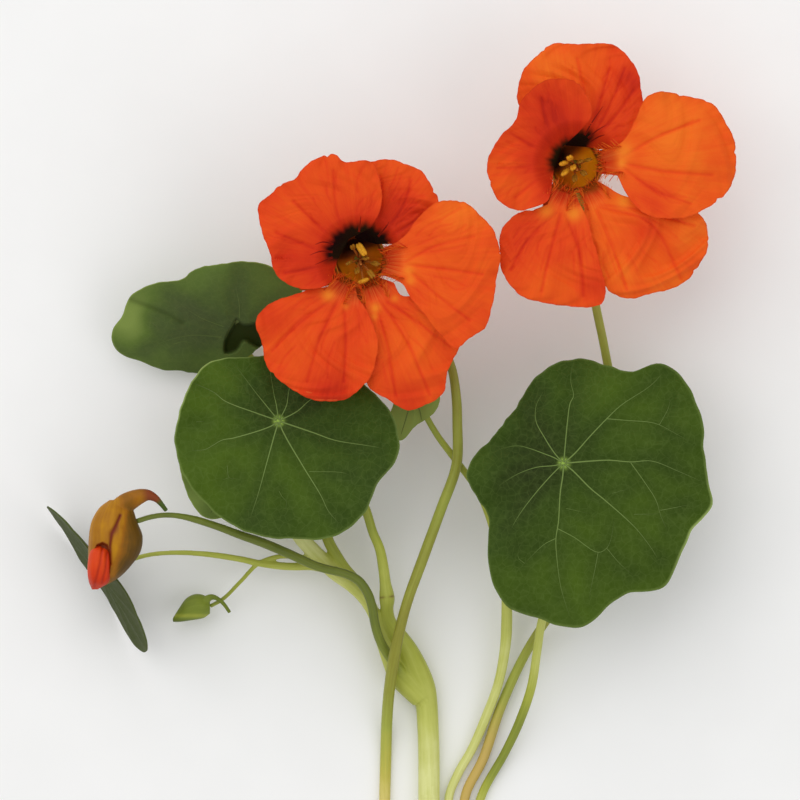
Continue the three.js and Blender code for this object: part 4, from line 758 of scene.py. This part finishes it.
leaf_paint("leaf", "0.15 202B06, 0.45 2E4208, 0.75 42590C", "7E9450", "8FA25A", "66764A")
leaf_paint("leaf_pale", "0.15 4A5236, 0.42 4E5F30, 0.62 5E7432, 0.9 84984A",
           "8A9A54", "93A552", "6C7A46")
leaf_paint("leaf_edge", "0.15 2A3416, 0.42 38431A, 0.62 475220, 0.9 5C662C",
           "74824A", "7E8A50", "454F20")
stem_paint("stem", "0 626E22, 0.3 869030, 0.55 A8AE40, 0.8 C2C664, 1 DCDE92")
stem_paint("stalk", "0 6C6C18, 0.3 8C8A2C, 0.55 A2AA44, 0.8 C0B84E, 1 DED47C")
calyx_paint()
stamen_paint()
bud_paint("bud", "0 3A2A04, 0.35 664604, 0.65 965E04, 1 BC8408", "6A1C06")
bud_paint("bud_petal", "0 A82004, 0.6 CC3606, 1 E0500C", "9A1C04")
bud_paint("bud_green", "0 606E20, 0.5 7C8A30, 1 A8AC40", "4E5A1C")


# Leaves
def edge_radius(table, angle):
    """Radius of a leaf's edge at angles in degrees, on a smooth closed curve."""
    a = np.concatenate([table[:, 0] - 360, table[:, 0], table[:, 0] + 360])
    r = np.tile(table[:, 1], 3)
    turn = np.mod(angle, 360)
    i = np.searchsorted(a, turn, side="right")
    step = a[i] - a[i - 1]
    t = (turn - a[i - 1]) / step
    s1 = (r[i] - r[i - 2]) / (a[i] - a[i - 2]) * step
    s2 = (r[i + 1] - r[i - 1]) / (a[i + 1] - a[i - 1]) * step
    rise = r[i] - r[i - 1]
    return r[i - 1] + t * (s1 + t * (3 * rise - 2 * s1 - s2 + t * (s1 + s2 - 2 * rise)))


def make_leaf(name, spec, slot, seed, rings=64, sectors=260):
    phases = np.random.default_rng(seed).uniform(0, 2 * np.pi, 6)
    height, count, turn = spec["wave"]
    table = rows(spec["edge"])
    veins = [(float(width), rows(path)) for width, path in
             (vein.split(":") for vein in spec["veins"].split(";"))]
    lines = [spline(path, 4) for _, path in veins]
    creases = [spline(path, 4) for path in paths(spec.get("creases", ""))]
    hollow = spline(closed(rows(spec["hollow"])), 3) if "hollow" in spec else None
    heart = spec.get("heart", 0)

    def edge(angle):
        a = np.radians(angle)
        small = 0.07 * np.sin(23 * a + phases[0]) + 0.05 * np.sin(41 * a + phases[1])
        return edge_radius(table, angle) + small * table[0, 1] / 25

    def sunk(x, y):
        """1 in the leaf's hollow and 0 outside it, soft at the border."""
        return 0 * x if hollow is None else fade(depth_within(x, y, hollow), -0.3, 0.7)

    def surface(x, y, lift=0.0):
        angle = np.degrees(np.arctan2(y, x))
        share = np.clip(np.hypot(x, y) / edge(angle), 0, 1)
        flat = 1 - share**5
        z = spec["slope"][0] * x + spec["slope"][1] * y + spec["dish"] * share**2
        z = z + height * share**3 * np.sin(np.radians(count * angle + turn))
        puff = PUFF[0] * (1 - near(x, y, lines, PUFF[1]))
        z = z + puff * flat - DIMPLE[0] * hill(share, DIMPLE[1])
        broad = np.sin(0.31 * x + phases[2]) * np.sin(0.27 * y + phases[3])
        broad = broad + 0.5 * np.sin(0.62 * x + phases[4]) * np.sin(0.7 * y + phases[5])
        z = z + BUMPS * broad * flat - HOLLOW_DEPTH * sunk(x, y)
        z = z - LEAF_CREASE[0] * near(x, y, creases, LEAF_CREASE[1])
        return np.stack([x, y, z + lift], -1) + spec["centre"]

    around = turns(sectors)
    rim = edge(np.degrees(around))[:, None] * np.stack([np.cos(around), np.sin(around)], -1)
    x, y, share = fan(np.zeros(2), rim, rings, 1.25)
    front = surface(x, y)
    back = front - LEAF_THICKNESS * (0.7 - 0.4 * fade(share, 0.9, 1.0))[:, None] * [0, 0, 1]
    shade = spec["shade"] + 0.10 * fade(distance_to(x, y, lines), 0.4, 4)
    # glow adds painted light and shade to the leaf's tone.
    shade = shade + 0.06 * fade(share, 0.3, 1.0) + patches(x, y, spec.get("light_and_shade", ""))
    azimuth, pale_at = np.degrees(np.arctan2(y, x)), rows(spec.get("rim_at", ""))
    bright = sum(hill((azimuth - at + 180) % 360 - 180, width) for at, width in pale_at)
    bright = spec["rim"] + (1 - spec["rim"]) * bright
    form = Form()
    # The hollow value is painted shade: full in the sunk area, weaker along the creases.
    blade(form, front, back, rings, shade=shade,
          rim=np.clip(bright, 0, 1) * fade(share, 0.978, 0.996),
          heart=heart * hill(np.hypot(x, y), 1.25, 4),
          hollow=np.maximum(sunk(x, y), 0.35 * near(x, y, creases, 0.55)))
    for width, path in veins:
        strength = spec["vein"] * min(1.0, 0.35 + width * 3.2)
        ribbon(form, path, width, surface, 0.05, "vein", strength)
    if heart:
        ribbon(form, rows(KNOB), 0.6, surface, 0.12, "heart", heart)
    form.make(name, slot, slot)


def make_edge_leaf(rings=40, sectors=160, vein_count=9):
    centre, length, tall = EDGE_LEAF["centre"], EDGE_LEAF["length"], EDGE_LEAF["height"]
    first_lean, last_lean = EDGE_LEAF["lean"]
    size = np.array([length, tall])
    along, across = (np.append(v, 0) for v in direction(math.radians(EDGE_LEAF["axis"])))
    lean = math.radians((first_lean + last_lean) / 2)
    outward = across * math.cos(lean) - np.array([0, 0, math.sin(lean)])
    veins = []
    for k in range(vein_count):
        end = direction(2 * math.pi * (k + 0.3) / vein_count)[0] * size * 0.93
        veins.append(np.array([[0, 0], end * 0.5 + [0.3, -0.2], end]))

    def surface(x, y, lift=0.0):
        a, b = x / length, y / tall
        tilt = np.radians(first_lean + (last_lean - first_lean) * (a + 1) / 2)
        twist, pace = EDGE_LEAF["twist"]
        bulge = EDGE_LEAF["bow"] * (1 - a * a) + twist * b * b * np.sin(pace * a)
        side = b * tall * np.sin(tilt) + bulge
        puff = 0.18 * (1 - near(x, y, veins, 1.6)) - 0.1
        point = centre + a[..., None] * length * along + side[..., None] * across
        point = point + (puff - lift)[..., None] * outward
        return point + (b * tall * np.cos(tilt))[..., None] * np.array([0, 0, 1.0])

    def other_side(x, y, lift=0.0):
        return surface(x, y, -LEAF_THICKNESS - lift)

    around = turns(sectors)
    rim = np.stack([np.cos(around), np.sin(around)], -1) * size
    x, y, share = fan(np.zeros(2), rim, rings, 1)
    low = surface(x, y)
    top = low + (LEAF_THICKNESS * (1 - 0.5 * share**12))[:, None] * outward
    form = Form()
    blade(form, top, low, rings, rim=0.3 * fade(share, 0.96, 1.0),
          shade=0.05 * fade(share, 0.3, 1) - 0.25, heart=0.6 * hill(np.hypot(x, y), 1.2, 4))
    for vein in veins:
        ribbon(form, vein, 0.18, surface, 0.05, "vein", 0.4)
        ribbon(form, vein * 0.86, 0.18, other_side, 0.05, "vein", 0.7)
    form.make("leaf_edge_on", "leaf_edge", "leaf_pale")


# Blooms
def throat_height(radius):
    part = (radius - THROAT["inner"]) / (THROAT["outer"] - THROAT["inner"])
    beyond = np.maximum(0, radius - THROAT["outer"])
    dip = THROAT["depth"] * (fade(part, 0, 1) - 1)
    return dip + THROAT["rise"] * beyond - THROAT["droop"] * beyond**2


def ruffle(radius, angle):
    out = np.clip((radius - RUFFLE["start"]) / RUFFLE["width"], 0, 1) ** 2
    finer = RUFFLE["share"] * np.sin(RUFFLE["second"] * angle + 1)
    return RUFFLE["height"] * out * (np.sin(RUFFLE["count"] * angle) + finer)


def petal_rim(spec, sectors):
    """Root and directions of a petal's claw, the middle of its area, evenly spaced points round
    its outline, and how far round each one is."""
    azimuth, reach, half_width = spec["claw"]
    along, across = direction(math.radians(azimuth))
    root = along * reach
    outline = spline(rows(spec["outline"]), 12)
    side = -1 if across @ outline[0] > across @ outline[-1] else 1
    rim = np.vstack([outline, [root + across * side * s * half_width for s in (1, -1)]])
    after = np.roll(rim, -1, axis=0)
    cross = rim[:, 0] * after[:, 1] - rim[:, 1] * after[:, 0]
    middle = ((rim + after) * cross[:, None]).sum(0) / (3 * cross.sum())
    middle = middle * (1 - PULL_TO_CLAW) + root * PULL_TO_CLAW
    border = closed(rim if cross.sum() > 0 else rim[::-1])
    length = lengths(border)
    at = np.linspace(0, length[-1], sectors, endpoint=False)
    even = np.stack([np.interp(at, length, v) for v in border.T], -1)
    return root, along, across, middle, even, at


def wrinkle_paths(root, rim, random, count):
    """Short lines that run outwards across the flat of a petal, at random."""
    outer = rim[np.linalg.norm(rim, axis=1) > 14]
    found = []
    for _ in range(count):
        reach = outer[random.integers(len(outer))] - root
        start = random.uniform(0.30, 0.72)
        end = min(start + random.uniform(0.14, 0.32), 0.94)
        sideways = np.array([-reach[1], reach[0]]) * random.uniform(-0.04, 0.04)
        shares = np.array([start, (start + end) / 2, end])[:, None]
        found.append(spline(root + reach * shares + sideways * [[0], [1], [0]], 3))
    return found


def make_petal(name, bloom, spec, seed, rings=60, sectors=240):
    spec = {**PLAIN_PETAL, **spec}
    upper = "stain" in spec
    random = np.random.default_rng(seed)
    root, along, across, middle, rim, at = petal_rim(spec, sectors)
    phases = random.uniform(0, 2 * np.pi, 12)
    nick = sum(height * np.sin(at * pace + f) for (height, pace), f in zip(NICKS, phases[8:]))
    for notch in random.uniform(0, at[-1], NOTCH_COUNT):
        nick -= random.uniform(0.15, 0.4) * hill(at - notch, 0.45)
    outer = fade(np.linalg.norm(rim, axis=1), 11, 17)
    rim = rim + unit(rim - middle) * (nick * outer)[:, None]
    creases = [spline(path, 4) for path in paths(spec["creases"])]
    wrinkles = wrinkle_paths(root, rim, random, WRINKLE_COUNT)
    folds = []
    for height, low, high, number, first, twist in FOLDS:
        counts = random.uniform(low, high, number)
        folds += [(height, c, f, twist) for c, f in zip(counts, phases[first:])]

    def surface(x, y, lift=0.0):
        radius, angle = np.hypot(x, y), np.arctan2(y, x)
        hood = spec["hood"] * np.clip((radius - THROAT["outer"]) / 10, 0, 1) ** 2
        bend = angle + 0.012 * radius * np.sin(0.35 * radius + phases[11])
        fold = sum(height * np.sin(c * bend + f + twist * radius) for height, c, f, twist in folds)
        valley = CREASE[0] * near(x, y, creases, CREASE[1])
        valley += WRINKLE[0] * near(x, y, wrinkles, WRINKLE[1])
        z = throat_height(radius) + ruffle(radius, angle) + spec["lift"] + hood + lift
        z = z + fold * fade(radius, 8, 20) - valley * fade(radius, 8, 13)
        return np.stack([x, y, z], -1) + bloom["centre"]

    x, y, share = fan(middle, rim, rings, 1.2)
    radius, angle = np.hypot(x, y), np.arctan2(y, x)
    front = surface(x, y)
    around = np.concatenate([[0], np.tile(at, rings)])
    wave = np.sin(around * 0.9 + phases[0]) + 0.7 * np.sin(around * 2.1 + phases[1])
    front[:, 2] += 0.20 * fade(share, 0.78, 1.0) * fade(radius, 10, 16) * wave
    steep = (throat_height(radius + 0.1) - throat_height(radius - 0.1)) / 0.2
    thick = (PETAL_THICKNESS - THINNER_RIM * fade(share, 0.8, 1.0)) * np.hypot(1, steep)
    # glow adds painted light and shade to the petal's tone.
    tone = spec["tone"] + patches(x, y, spec["light_and_shade"])
    if upper:
        reach, first, last = spec["stain"]
        streaks = 0.5 * np.sin(13 * angle + phases[2]) + 0.4 * np.sin(31 * angle + phases[3])
        azimuth = np.degrees(angle) % 360
        window = fade(azimuth, first - 8, first + 8) * (1 - fade(azimuth, last - 10, last + 10))
        dark = window * (1 - fade(radius - 0.45 * streaks, reach - 1.5, reach + 0.8))
        # Painted shadow: the upper petals' tone darkens towards the throat.
        looks = {"dark": dark, "tone": tone - 0.22 * (1 - fade(radius, 8, 15))}
    else:
        brown = 1 - fade(radius + 0.3 * np.sin(9 * angle), *spec["brown"])
        looks = {"brown": brown, "root": 1 - fade(radius, 8.5, 12.0),
                 "tone": tone - 0.35 * (1 - fade(radius, 7, 11))}
    # Painted shade along creases and wrinkles, carried by the crease value.
    crease = near(x, y, creases, 0.34) + 0.5 * near(x, y, wrinkles, 0.26)
    form = Form()
    blade(form, front, front - thick[:, None] * [0, 0, 1], rings, **looks,
          flow=np.stack([angle, radius * 0.1, np.full_like(radius, seed)], -1),
          pale=np.clip(patches(x, y, spec["spots"]), 0, 1),
          crease=crease * fade(radius, 8, 13), rim=fade(share, 0.975, 1.0) * fade(radius, 9, 13))
    for line in paths(spec["lines"]):
        ribbon(form, line, 0.22, surface, 0.01, "dark", 0.8)
    if not upper:
        add_fringe(form, root, along, across, spec["claw"][2], surface, random)
    petal_paint(seed)
    form.make(name, f"petal_{seed}", "petal")


def add_fringe(form, root, along, across, half_width, surface, random, beside=72, at_root=30):
    """Soft hairs that stand up from both sides of a claw and from its root."""
    for k in range(beside + at_root):
        if k < beside:
            share = k / (beside - 1)
            side = 1 if k % 2 else -1
            out = along * (0.4 + 5.0 * share) + across * side * (half_width * 0.9 + 0.7 * share)
            lean = across * side * random.uniform(-0.4, 0.9) - along * random.uniform(0.1, 1.1)
            tall = random.uniform(1.4, 3.2)
        else:
            out = along * random.uniform(-0.1, 1.6) + across * half_width * random.uniform(-1, 1)
            lean = across * random.uniform(-0.5, 0.5) - along * random.uniform(0.3, 1.2)
            tall = random.uniform(0.9, 2.4)
        base = (root + out)[:, None]
        start = surface(*base)[0] - [0, 0, 0.1]
        hair = []
        for s, radius in HAIR:
            spread = lean * tall * (0.35 * s + 0.5 * s * s)
            hair.append([*(start + [*spread, tall * (s - 0.3 * s * s)]), radius])
        warm = random.uniform(0.0, 0.7)
        tube(form, hair, 3, 5, side=(0.31, 0.17, 0.2), pale=warm, tone=random.uniform(0.1, 0.6))


def add_cup(form, profile, bloom, inside):
    """One side of the cup, turned round the bloom's middle; its depth value is painted shade."""
    table = spline(rows(profile), 6)
    turn = turns(CUP_SIDES)
    wide = np.maximum(table[:, :1], 0.02) * (1 + 0.02 * np.sin(10 * turn))
    high = np.repeat(table[:, 1:], len(turn), 1)
    points = np.stack([wide * np.cos(turn), wide * np.sin(turn), high], -1).reshape(-1, 3)
    azimuth, side_shade = bloom["side_shade"]
    shadow, shaded = (
        points[:, :2] @ direction(math.radians(a))[0] / CUP_RADIUS for a in (bloom["up"], azimuth))
    # Painted shade: darker towards the cup's bottom, towards up, and towards the gloom azimuth.
    depth = bloom["shade"] + 0.22 * np.clip((-9.6 - points[:, 2]) / 4.8, 0, 1)
    depth += 0.9 * fade(shadow, -0.1, 0.75) + side_shade * fade(shaded, -0.2, 0.8)
    form.add(points + bloom["centre"], grid_faces(len(table), len(turn), True), depth=depth,
             inside=inside, edge=max(inside, 0.2) * fade(points[:, 2], -11.6, -10.4))


def make_calyx(name, bloom):
    centre = np.array(bloom["centre"])
    form = Form()
    add_cup(form, CUP_OUTSIDE, bloom, 0.0)
    add_cup(form, CUP_INSIDE, bloom, 1.0)
    up = direction(math.radians(bloom["up"]))[0]
    spur = [[*(centre + [*(up * out), high]), radius] for out, high, radius in rows(bloom["spur"])]
    tube(form, spur, 8, 28, side=(1, 0, 0), flush=lambda s: 0.55 * fade(s, 0.3, 1.0))
    count, columns = 30, 13
    part = np.linspace(0, 1, count)[:, None]
    k = np.linspace(-1, 1, columns)
    width = SEPAL["width"] * np.sqrt(np.maximum(1 - SEPAL["taper"] * part ** SEPAL["blunt"], 0))
    out = SEPAL["root"] + part * SEPAL["length"]
    index = np.arange(count * columns).reshape(count, columns)
    loop = np.concatenate([index[0], index[1:, -1], index[-1, -2::-1], index[-2:0:-1, 0]])
    faces = grid_faces(count, columns)
    faces = faces[:, ::-1].tolist() + (faces + index.size).tolist()
    faces += wall_faces(loop[::-1], loop[::-1] + index.size)
    red = np.repeat(0.9 - 0.2 * fade(part[:, 0], 0.5, 1.0), columns)
    for azimuth in bloom["sepals"]:
        along, across = direction(math.radians(azimuth))
        x, y = (along[i] * out + across[i] * k * width for i in (0, 1))
        z = throat_height(np.hypot(x, y)) - SEPAL["below"] - SEPAL["bowl"] * (1 - k**2)
        top = (np.stack([x, y, z], -1) + centre).reshape(-1, 3)
        both = np.vstack([top, top - [0, 0, SEPAL["thick"]]])
        form.add(both, faces, flush=np.concatenate([red, 0.3 * red]))
    form.make(f"{name}_calyx", "calyx", "calyx")


def make_stamens(name, bloom):
    centre = np.array(bloom["centre"])
    form = Form()
    tube(form, rows(OVARY) + [*centre, 0], 6, 24, side=(1, 0, 0), ovary=1.0)

    def thread(top, radius):
        x, y, z = top
        table = [[x * 0.15, y * 0.15, OVARY_TOP - 1, radius * 1.2],
                 [x * 0.45, y * 0.45, (OVARY_TOP + z) / 2, radius], [x, y, z, radius * 0.7]]
        tube(form, np.array(table) + [*centre, 0], 8, 12, side=(1, 0.2, 0))

    for index, top in enumerate(rows(bloom["anthers"])):
        thread(top, 0.28)
        size, old = (1.15, 0.0) if index in bloom["fresh"] else (0.8, 0.8)
        upright = [top[0] * 0.25 + 0.15, top[1] * 0.25 - 0.2, 1.0]
        lean = np.array(bloom["leans"].get(index, upright))
        for side in (-0.26, 0.26):
            middle = centre + top + [side, side * 0.5, 0]
            half = [[*(middle + lean * h * size), r * size] for h, r in rows(ANTHER)]
            tube(form, half, 4, 14, side=(1, 0, 0), anther=1.0, old=old)
    thread(STYLE_TOP, 0.3)
    form.make(f"{name}_stamens", "stamens", "stamen")


# Stems
def stem_values(points, stems, tones):
    """Tone and flow at points, from the stems' paths nearest to them."""
    frames = [stem_frames(table, 8) for table in stems]
    centre, radius, across, over, length = (np.concatenate(part) for part in zip(*frames))
    tone = np.concatenate([np.interp(f[4] / f[4][-1], np.linspace(0, 1, len(t)), t)
                           for f, t in zip(frames, tones)])
    out_tone, out_flow = [], []
    for block in np.array_split(points, max(1, len(points) // BLOCK)):
        away = np.linalg.norm(block[:, None] - centre[None], axis=2) - radius
        weight = np.exp(-(away - away.min(1, keepdims=True)) / TONE_REACH)
        out_tone.append((weight * tone).sum(1) / weight.sum(1))
        best = away.argmin(1)
        spread = block - centre[best]
        sides = [(spread * v[best]).sum(1) / radius[best] for v in (across, over)]
        out_flow.append(np.stack([*sides, length[best]], -1))
    return {"tone": np.concatenate(out_tone), "flow": np.vstack(out_flow)}


def melted(raw, cell, passes):
    """Points and faces of a form's bodies melted into one, so that they grow out of each other."""
    mesh = bpy.data.meshes.new("raw")
    mesh.from_pydata((np.vstack(raw.points) * MILLIMETRE).tolist(), [], raw.faces)
    body = bpy.data.objects.new("raw", mesh)
    bpy.context.scene.collection.objects.link(body)
    melt = body.modifiers.new("melt", "REMESH")
    melt.mode = "VOXEL"
    melt.voxel_size = cell * MILLIMETRE
    body.modifiers.new("ease", "SMOOTH").iterations = passes
    ready = body.evaluated_get(bpy.context.evaluated_depsgraph_get()).to_mesh()
    points = np.empty(len(ready.vertices) * 3)
    ready.vertices.foreach_get("co", points)
    faces = [list(face.vertices) for face in ready.polygons]
    bpy.data.objects.remove(body)
    return points.reshape(-1, 3) / MILLIMETRE, faces


def make_shoot():
    stems = [rows(spec["path"]) for spec in SHOOT.values()]
    tones = [rows(spec["tones"])[0] for spec in SHOOT.values()]
    raw = Form()
    for table in stems:
        tube(raw, table, *STEM_DETAIL)
    points, faces = melted(raw, 0.25, 7)
    x, y, z = points.T
    dx, dy = x - NODE_RING[0], y - NODE_RING[1]
    node = hill(dy - 0.12 * dx, 0.26) * (np.hypot(dx, dy) < 2.6) * (0.55 + 0.45 * np.sin(2.6 * x))
    form = Form().add(points, faces, node=node * (z > 8), cut=fade(-y, *SHOOT_CUT),
                      **stem_values(points, stems, tones))
    form.make("shoot_stem", "stem", "stem")


def make_stalk(name, spec):
    table, tones = rows(spec["path"]), rows(spec["tones"])[0]
    raw = Form()
    tube(raw, table, *STEM_DETAIL)
    y = raw.points[0][:, 1]
    low, high, strength = spec.get("blush", (-200, -199, 0))
    values = stem_values(raw.points[0], [table], [tones])
    form = Form().add(raw.points[0], raw.faces, blush=strength * (1 - fade(y, low, high)),
                      cut=fade(-y, *STALK_CUT), **values)
    form.make(name, spec["slot"], spec["slot"])


# Buds
def bud_body(slices, middle, depth, steps, sides, square=2, lengthwise=1):
    """Points and faces of a closed body from slices across it, and the flow of its lines; square
    above 2 makes its section boxier, and lengthwise is the axis that it lies along."""
    table = spline(slices, steps)
    at, near, far = table.T
    half = ((far - near) / 2)[:, None]
    turn = turns(sides)
    c, s = np.cos(turn), np.sin(turn)
    boxy = (np.abs(c) ** square + np.abs(s) ** square) ** (-1 / square)
    seams = (1 - 0.035 * np.abs(np.cos(2.5 * turn + 0.4)) ** 8) * boxy
    plan = [((far + near) / 2)[:, None] + half * c * seams, np.repeat(at[:, None], sides, 1)]
    if lengthwise == 0:
        plan.reverse()
    points = np.stack([*plan, middle + depth * half * s * seams], -1).reshape(-1, 3)
    flow = np.stack([np.tile(c, len(at)), np.tile(s, len(at)), np.repeat(at, sides)], -1)
    return points, capped_faces(len(at), sides), flow


def melted_bud(spec, sides, spur_sides, cell):
    """Points and faces of a bud's body and spur melted into one."""
    raw = Form()
    raw.add(*bud_body(rows(spec["slices"]), spec["middle"], spec["depth"], 8, sides,
                      lengthwise=spec["axis"])[:2])
    tube(raw, rows(spec["spur"]), 8, spur_sides)
    return melted(raw, cell, 5)


def bud_values(points, spec):
    """Flow of a bud's lines, how far each point belongs to the spur, and its share along that."""
    path = spline(rows(spec["spur"]), 8)
    away = np.linalg.norm(points[:, None] - path[None, :, :3], axis=2) / path[:, 3]
    slices = rows(spec["slices"])
    order = slices[np.argsort(slices[:, 0])]
    at = points[:, spec["axis"]]
    centre = np.interp(at, order[:, 0], (order[:, 1] + order[:, 2]) / 2)
    turn = np.arctan2(points[:, 2] - spec["middle"], points[:, 1 - spec["axis"]] - centre)
    flow = np.stack([np.cos(turn), np.sin(turn), at], -1)
    return flow, 1 - fade(away.min(1), 1.1, 1.7), away.argmin(1) / (len(path) - 1)


def make_large_bud():
    middle = LARGE_BUD["middle"]
    points, faces = melted_bud(LARGE_BUD, 72, 28, 0.2)
    x, y = points[:, 0], points[:, 1]
    front = fade(points[:, 2], middle - 0.5, middle + 0.5)
    slit = near(x, y, paths(BUD_SLIT), 0.36 + 0.3 * hill(y + 30.2, 1.4)) * front
    mouth = depth_within(x, y, rows(BUD_MOUTH))
    points[:, 2] -= (SLIT_DEPTH * slit + MOUTH_DEPTH * fade(mouth, -0.25, 0.3)) * front
    flow, spur, share = bud_values(points, LARGE_BUD)
    ridge = near(x, y, paths(BUD_RIDGE), 0.8)
    tone = (0.80 + 0.14 * ridge - 0.50 * fade(x, -66.0, -60.0) * (1 - 0.5 * ridge)
            - 0.20 * fade(-y, 30, 40) - 0.25 * fade(-y, 35, 42) * fade(x, -68, -63))
    tone = tone + spur * (0.74 - 0.4 * share - tone) * fade(share, 0.1, 0.3)
    slit = np.maximum(slit, 0.9 * fade(mouth, -0.5, -0.1) * front)
    form = Form().add(points, faces, tone=tone, flow=flow, slit=slit,
                      maroon=0.8 * spur * fade(share, 0.36, 0.56),
                      green=spur * fade(share, 0.72, 0.84))
    form.make("bud_large_sepals", "bud", "calyx")

    slices = rows(LARGE_BUD["petals"])
    points, faces, flow = bud_body(slices, middle, LARGE_BUD["petal_depth"], 12, 84, 3.4)
    x, y = points[:, 0], points[:, 1]
    dent = near(x, y, paths(BUD_FOLDS), 0.28)
    tone = 0.35 + 0.35 * fade(y, -44, -37) - 0.3 * fade(x, -67.4, -66.2)
    points[:, 2] -= FOLD_DEPTH * dent * (points[:, 2] > middle)
    # Painted shade along the petals' folds, laid on with the slit coat.
    form = Form().add(points, faces, flow=flow, slit=0.6 * dent, tone=tone)
    form.make("bud_large_petals", "bud_petal", "petal")


def make_small_bud():
    points, faces = melted_bud(SMALL_BUD, 56, 24, 0.13)
    flow, spur, share = bud_values(points, SMALL_BUD)
    y = points[:, 1]
    tone = 0.42 + 0.4 * hill(y + 49.9, 0.5) - 0.4 * fade(-y, 50.3, 51.2)
    tone = tone + spur * (0.2 - tone) * fade(share, 0.1, 0.3)
    Form().add(points, faces, tone=tone, flow=flow).make("bud_small", "bud_green", "bud_green")


make_shoot()
for name, spec in STALKS.items():
    make_stalk(name, spec)
for index, (name, spec) in enumerate(LEAVES.items()):
    make_leaf(name, spec, "leaf" if "front" in name else "leaf_pale", LEAF_SEED + index)
make_edge_leaf()
for bloom_name, bloom in BLOOMS.items():
    make_calyx(bloom_name, bloom)
    make_stamens(bloom_name, bloom)
    for index, (name, spec) in enumerate(PETALS.items()):
        if name.startswith(bloom_name):
            make_petal(name, bloom, spec, PETAL_SEED + index)
make_large_bud()
make_small_bud()


# Floor, lights and camera
def lamp(name, location, size, energy):
    data = bpy.data.lights.new(name, "AREA")
    data.shape = "DISK"
    data.size = size
    data.energy = energy
    made = bpy.data.objects.new(name, data)
    made.location = location
    made.rotation_euler = (-Vector(location)).to_track_quat("-Z", "Y").to_euler()
    bpy.context.scene.collection.objects.link(made)


bpy.ops.mesh.primitive_plane_add(size=6, location=(0, 0, 0))
plane = bpy.context.object
plane.name = "floor"
paint = Paint("floor", 0.8, 0.1)
grain = paint.noise(paint.place(), 40, 2.0)
paint.fill(paint.shader, {"Base Color": paint.ramp(grain, "0 F4F4F3, 1 FAFAF9")})
plane.data.materials.append(paint.material)

lamp("key", (-0.6, 0.8, 1.2), 2.2, 12.0)
lamp("fill", (0.9, -0.4, 1.2), 1.2, 2.5)
world = bpy.data.worlds.new("studio")
world.use_nodes = True
sky = world.node_tree.nodes["Background"].inputs
sky["Color"].default_value = (1, 1, 1, 1)
sky["Strength"].default_value = SKY_STRENGTH
bpy.context.scene.world = world
bpy.context.scene.view_settings.view_transform = "Standard"

camera = bpy.data.cameras.new("camera")
camera.lens = LENS
camera.sensor_width = SENSOR
camera.clip_end = 20
view = bpy.data.objects.new("camera", camera)
x, y = (v * MILLIMETRE for v in BUNCH_SHIFT[:2])
view.location = (x, y, MID_HEIGHT + FRAME_WIDTH * LENS / SENSOR)
bpy.context.scene.collection.objects.link(view)
bpy.context.scene.camera = view
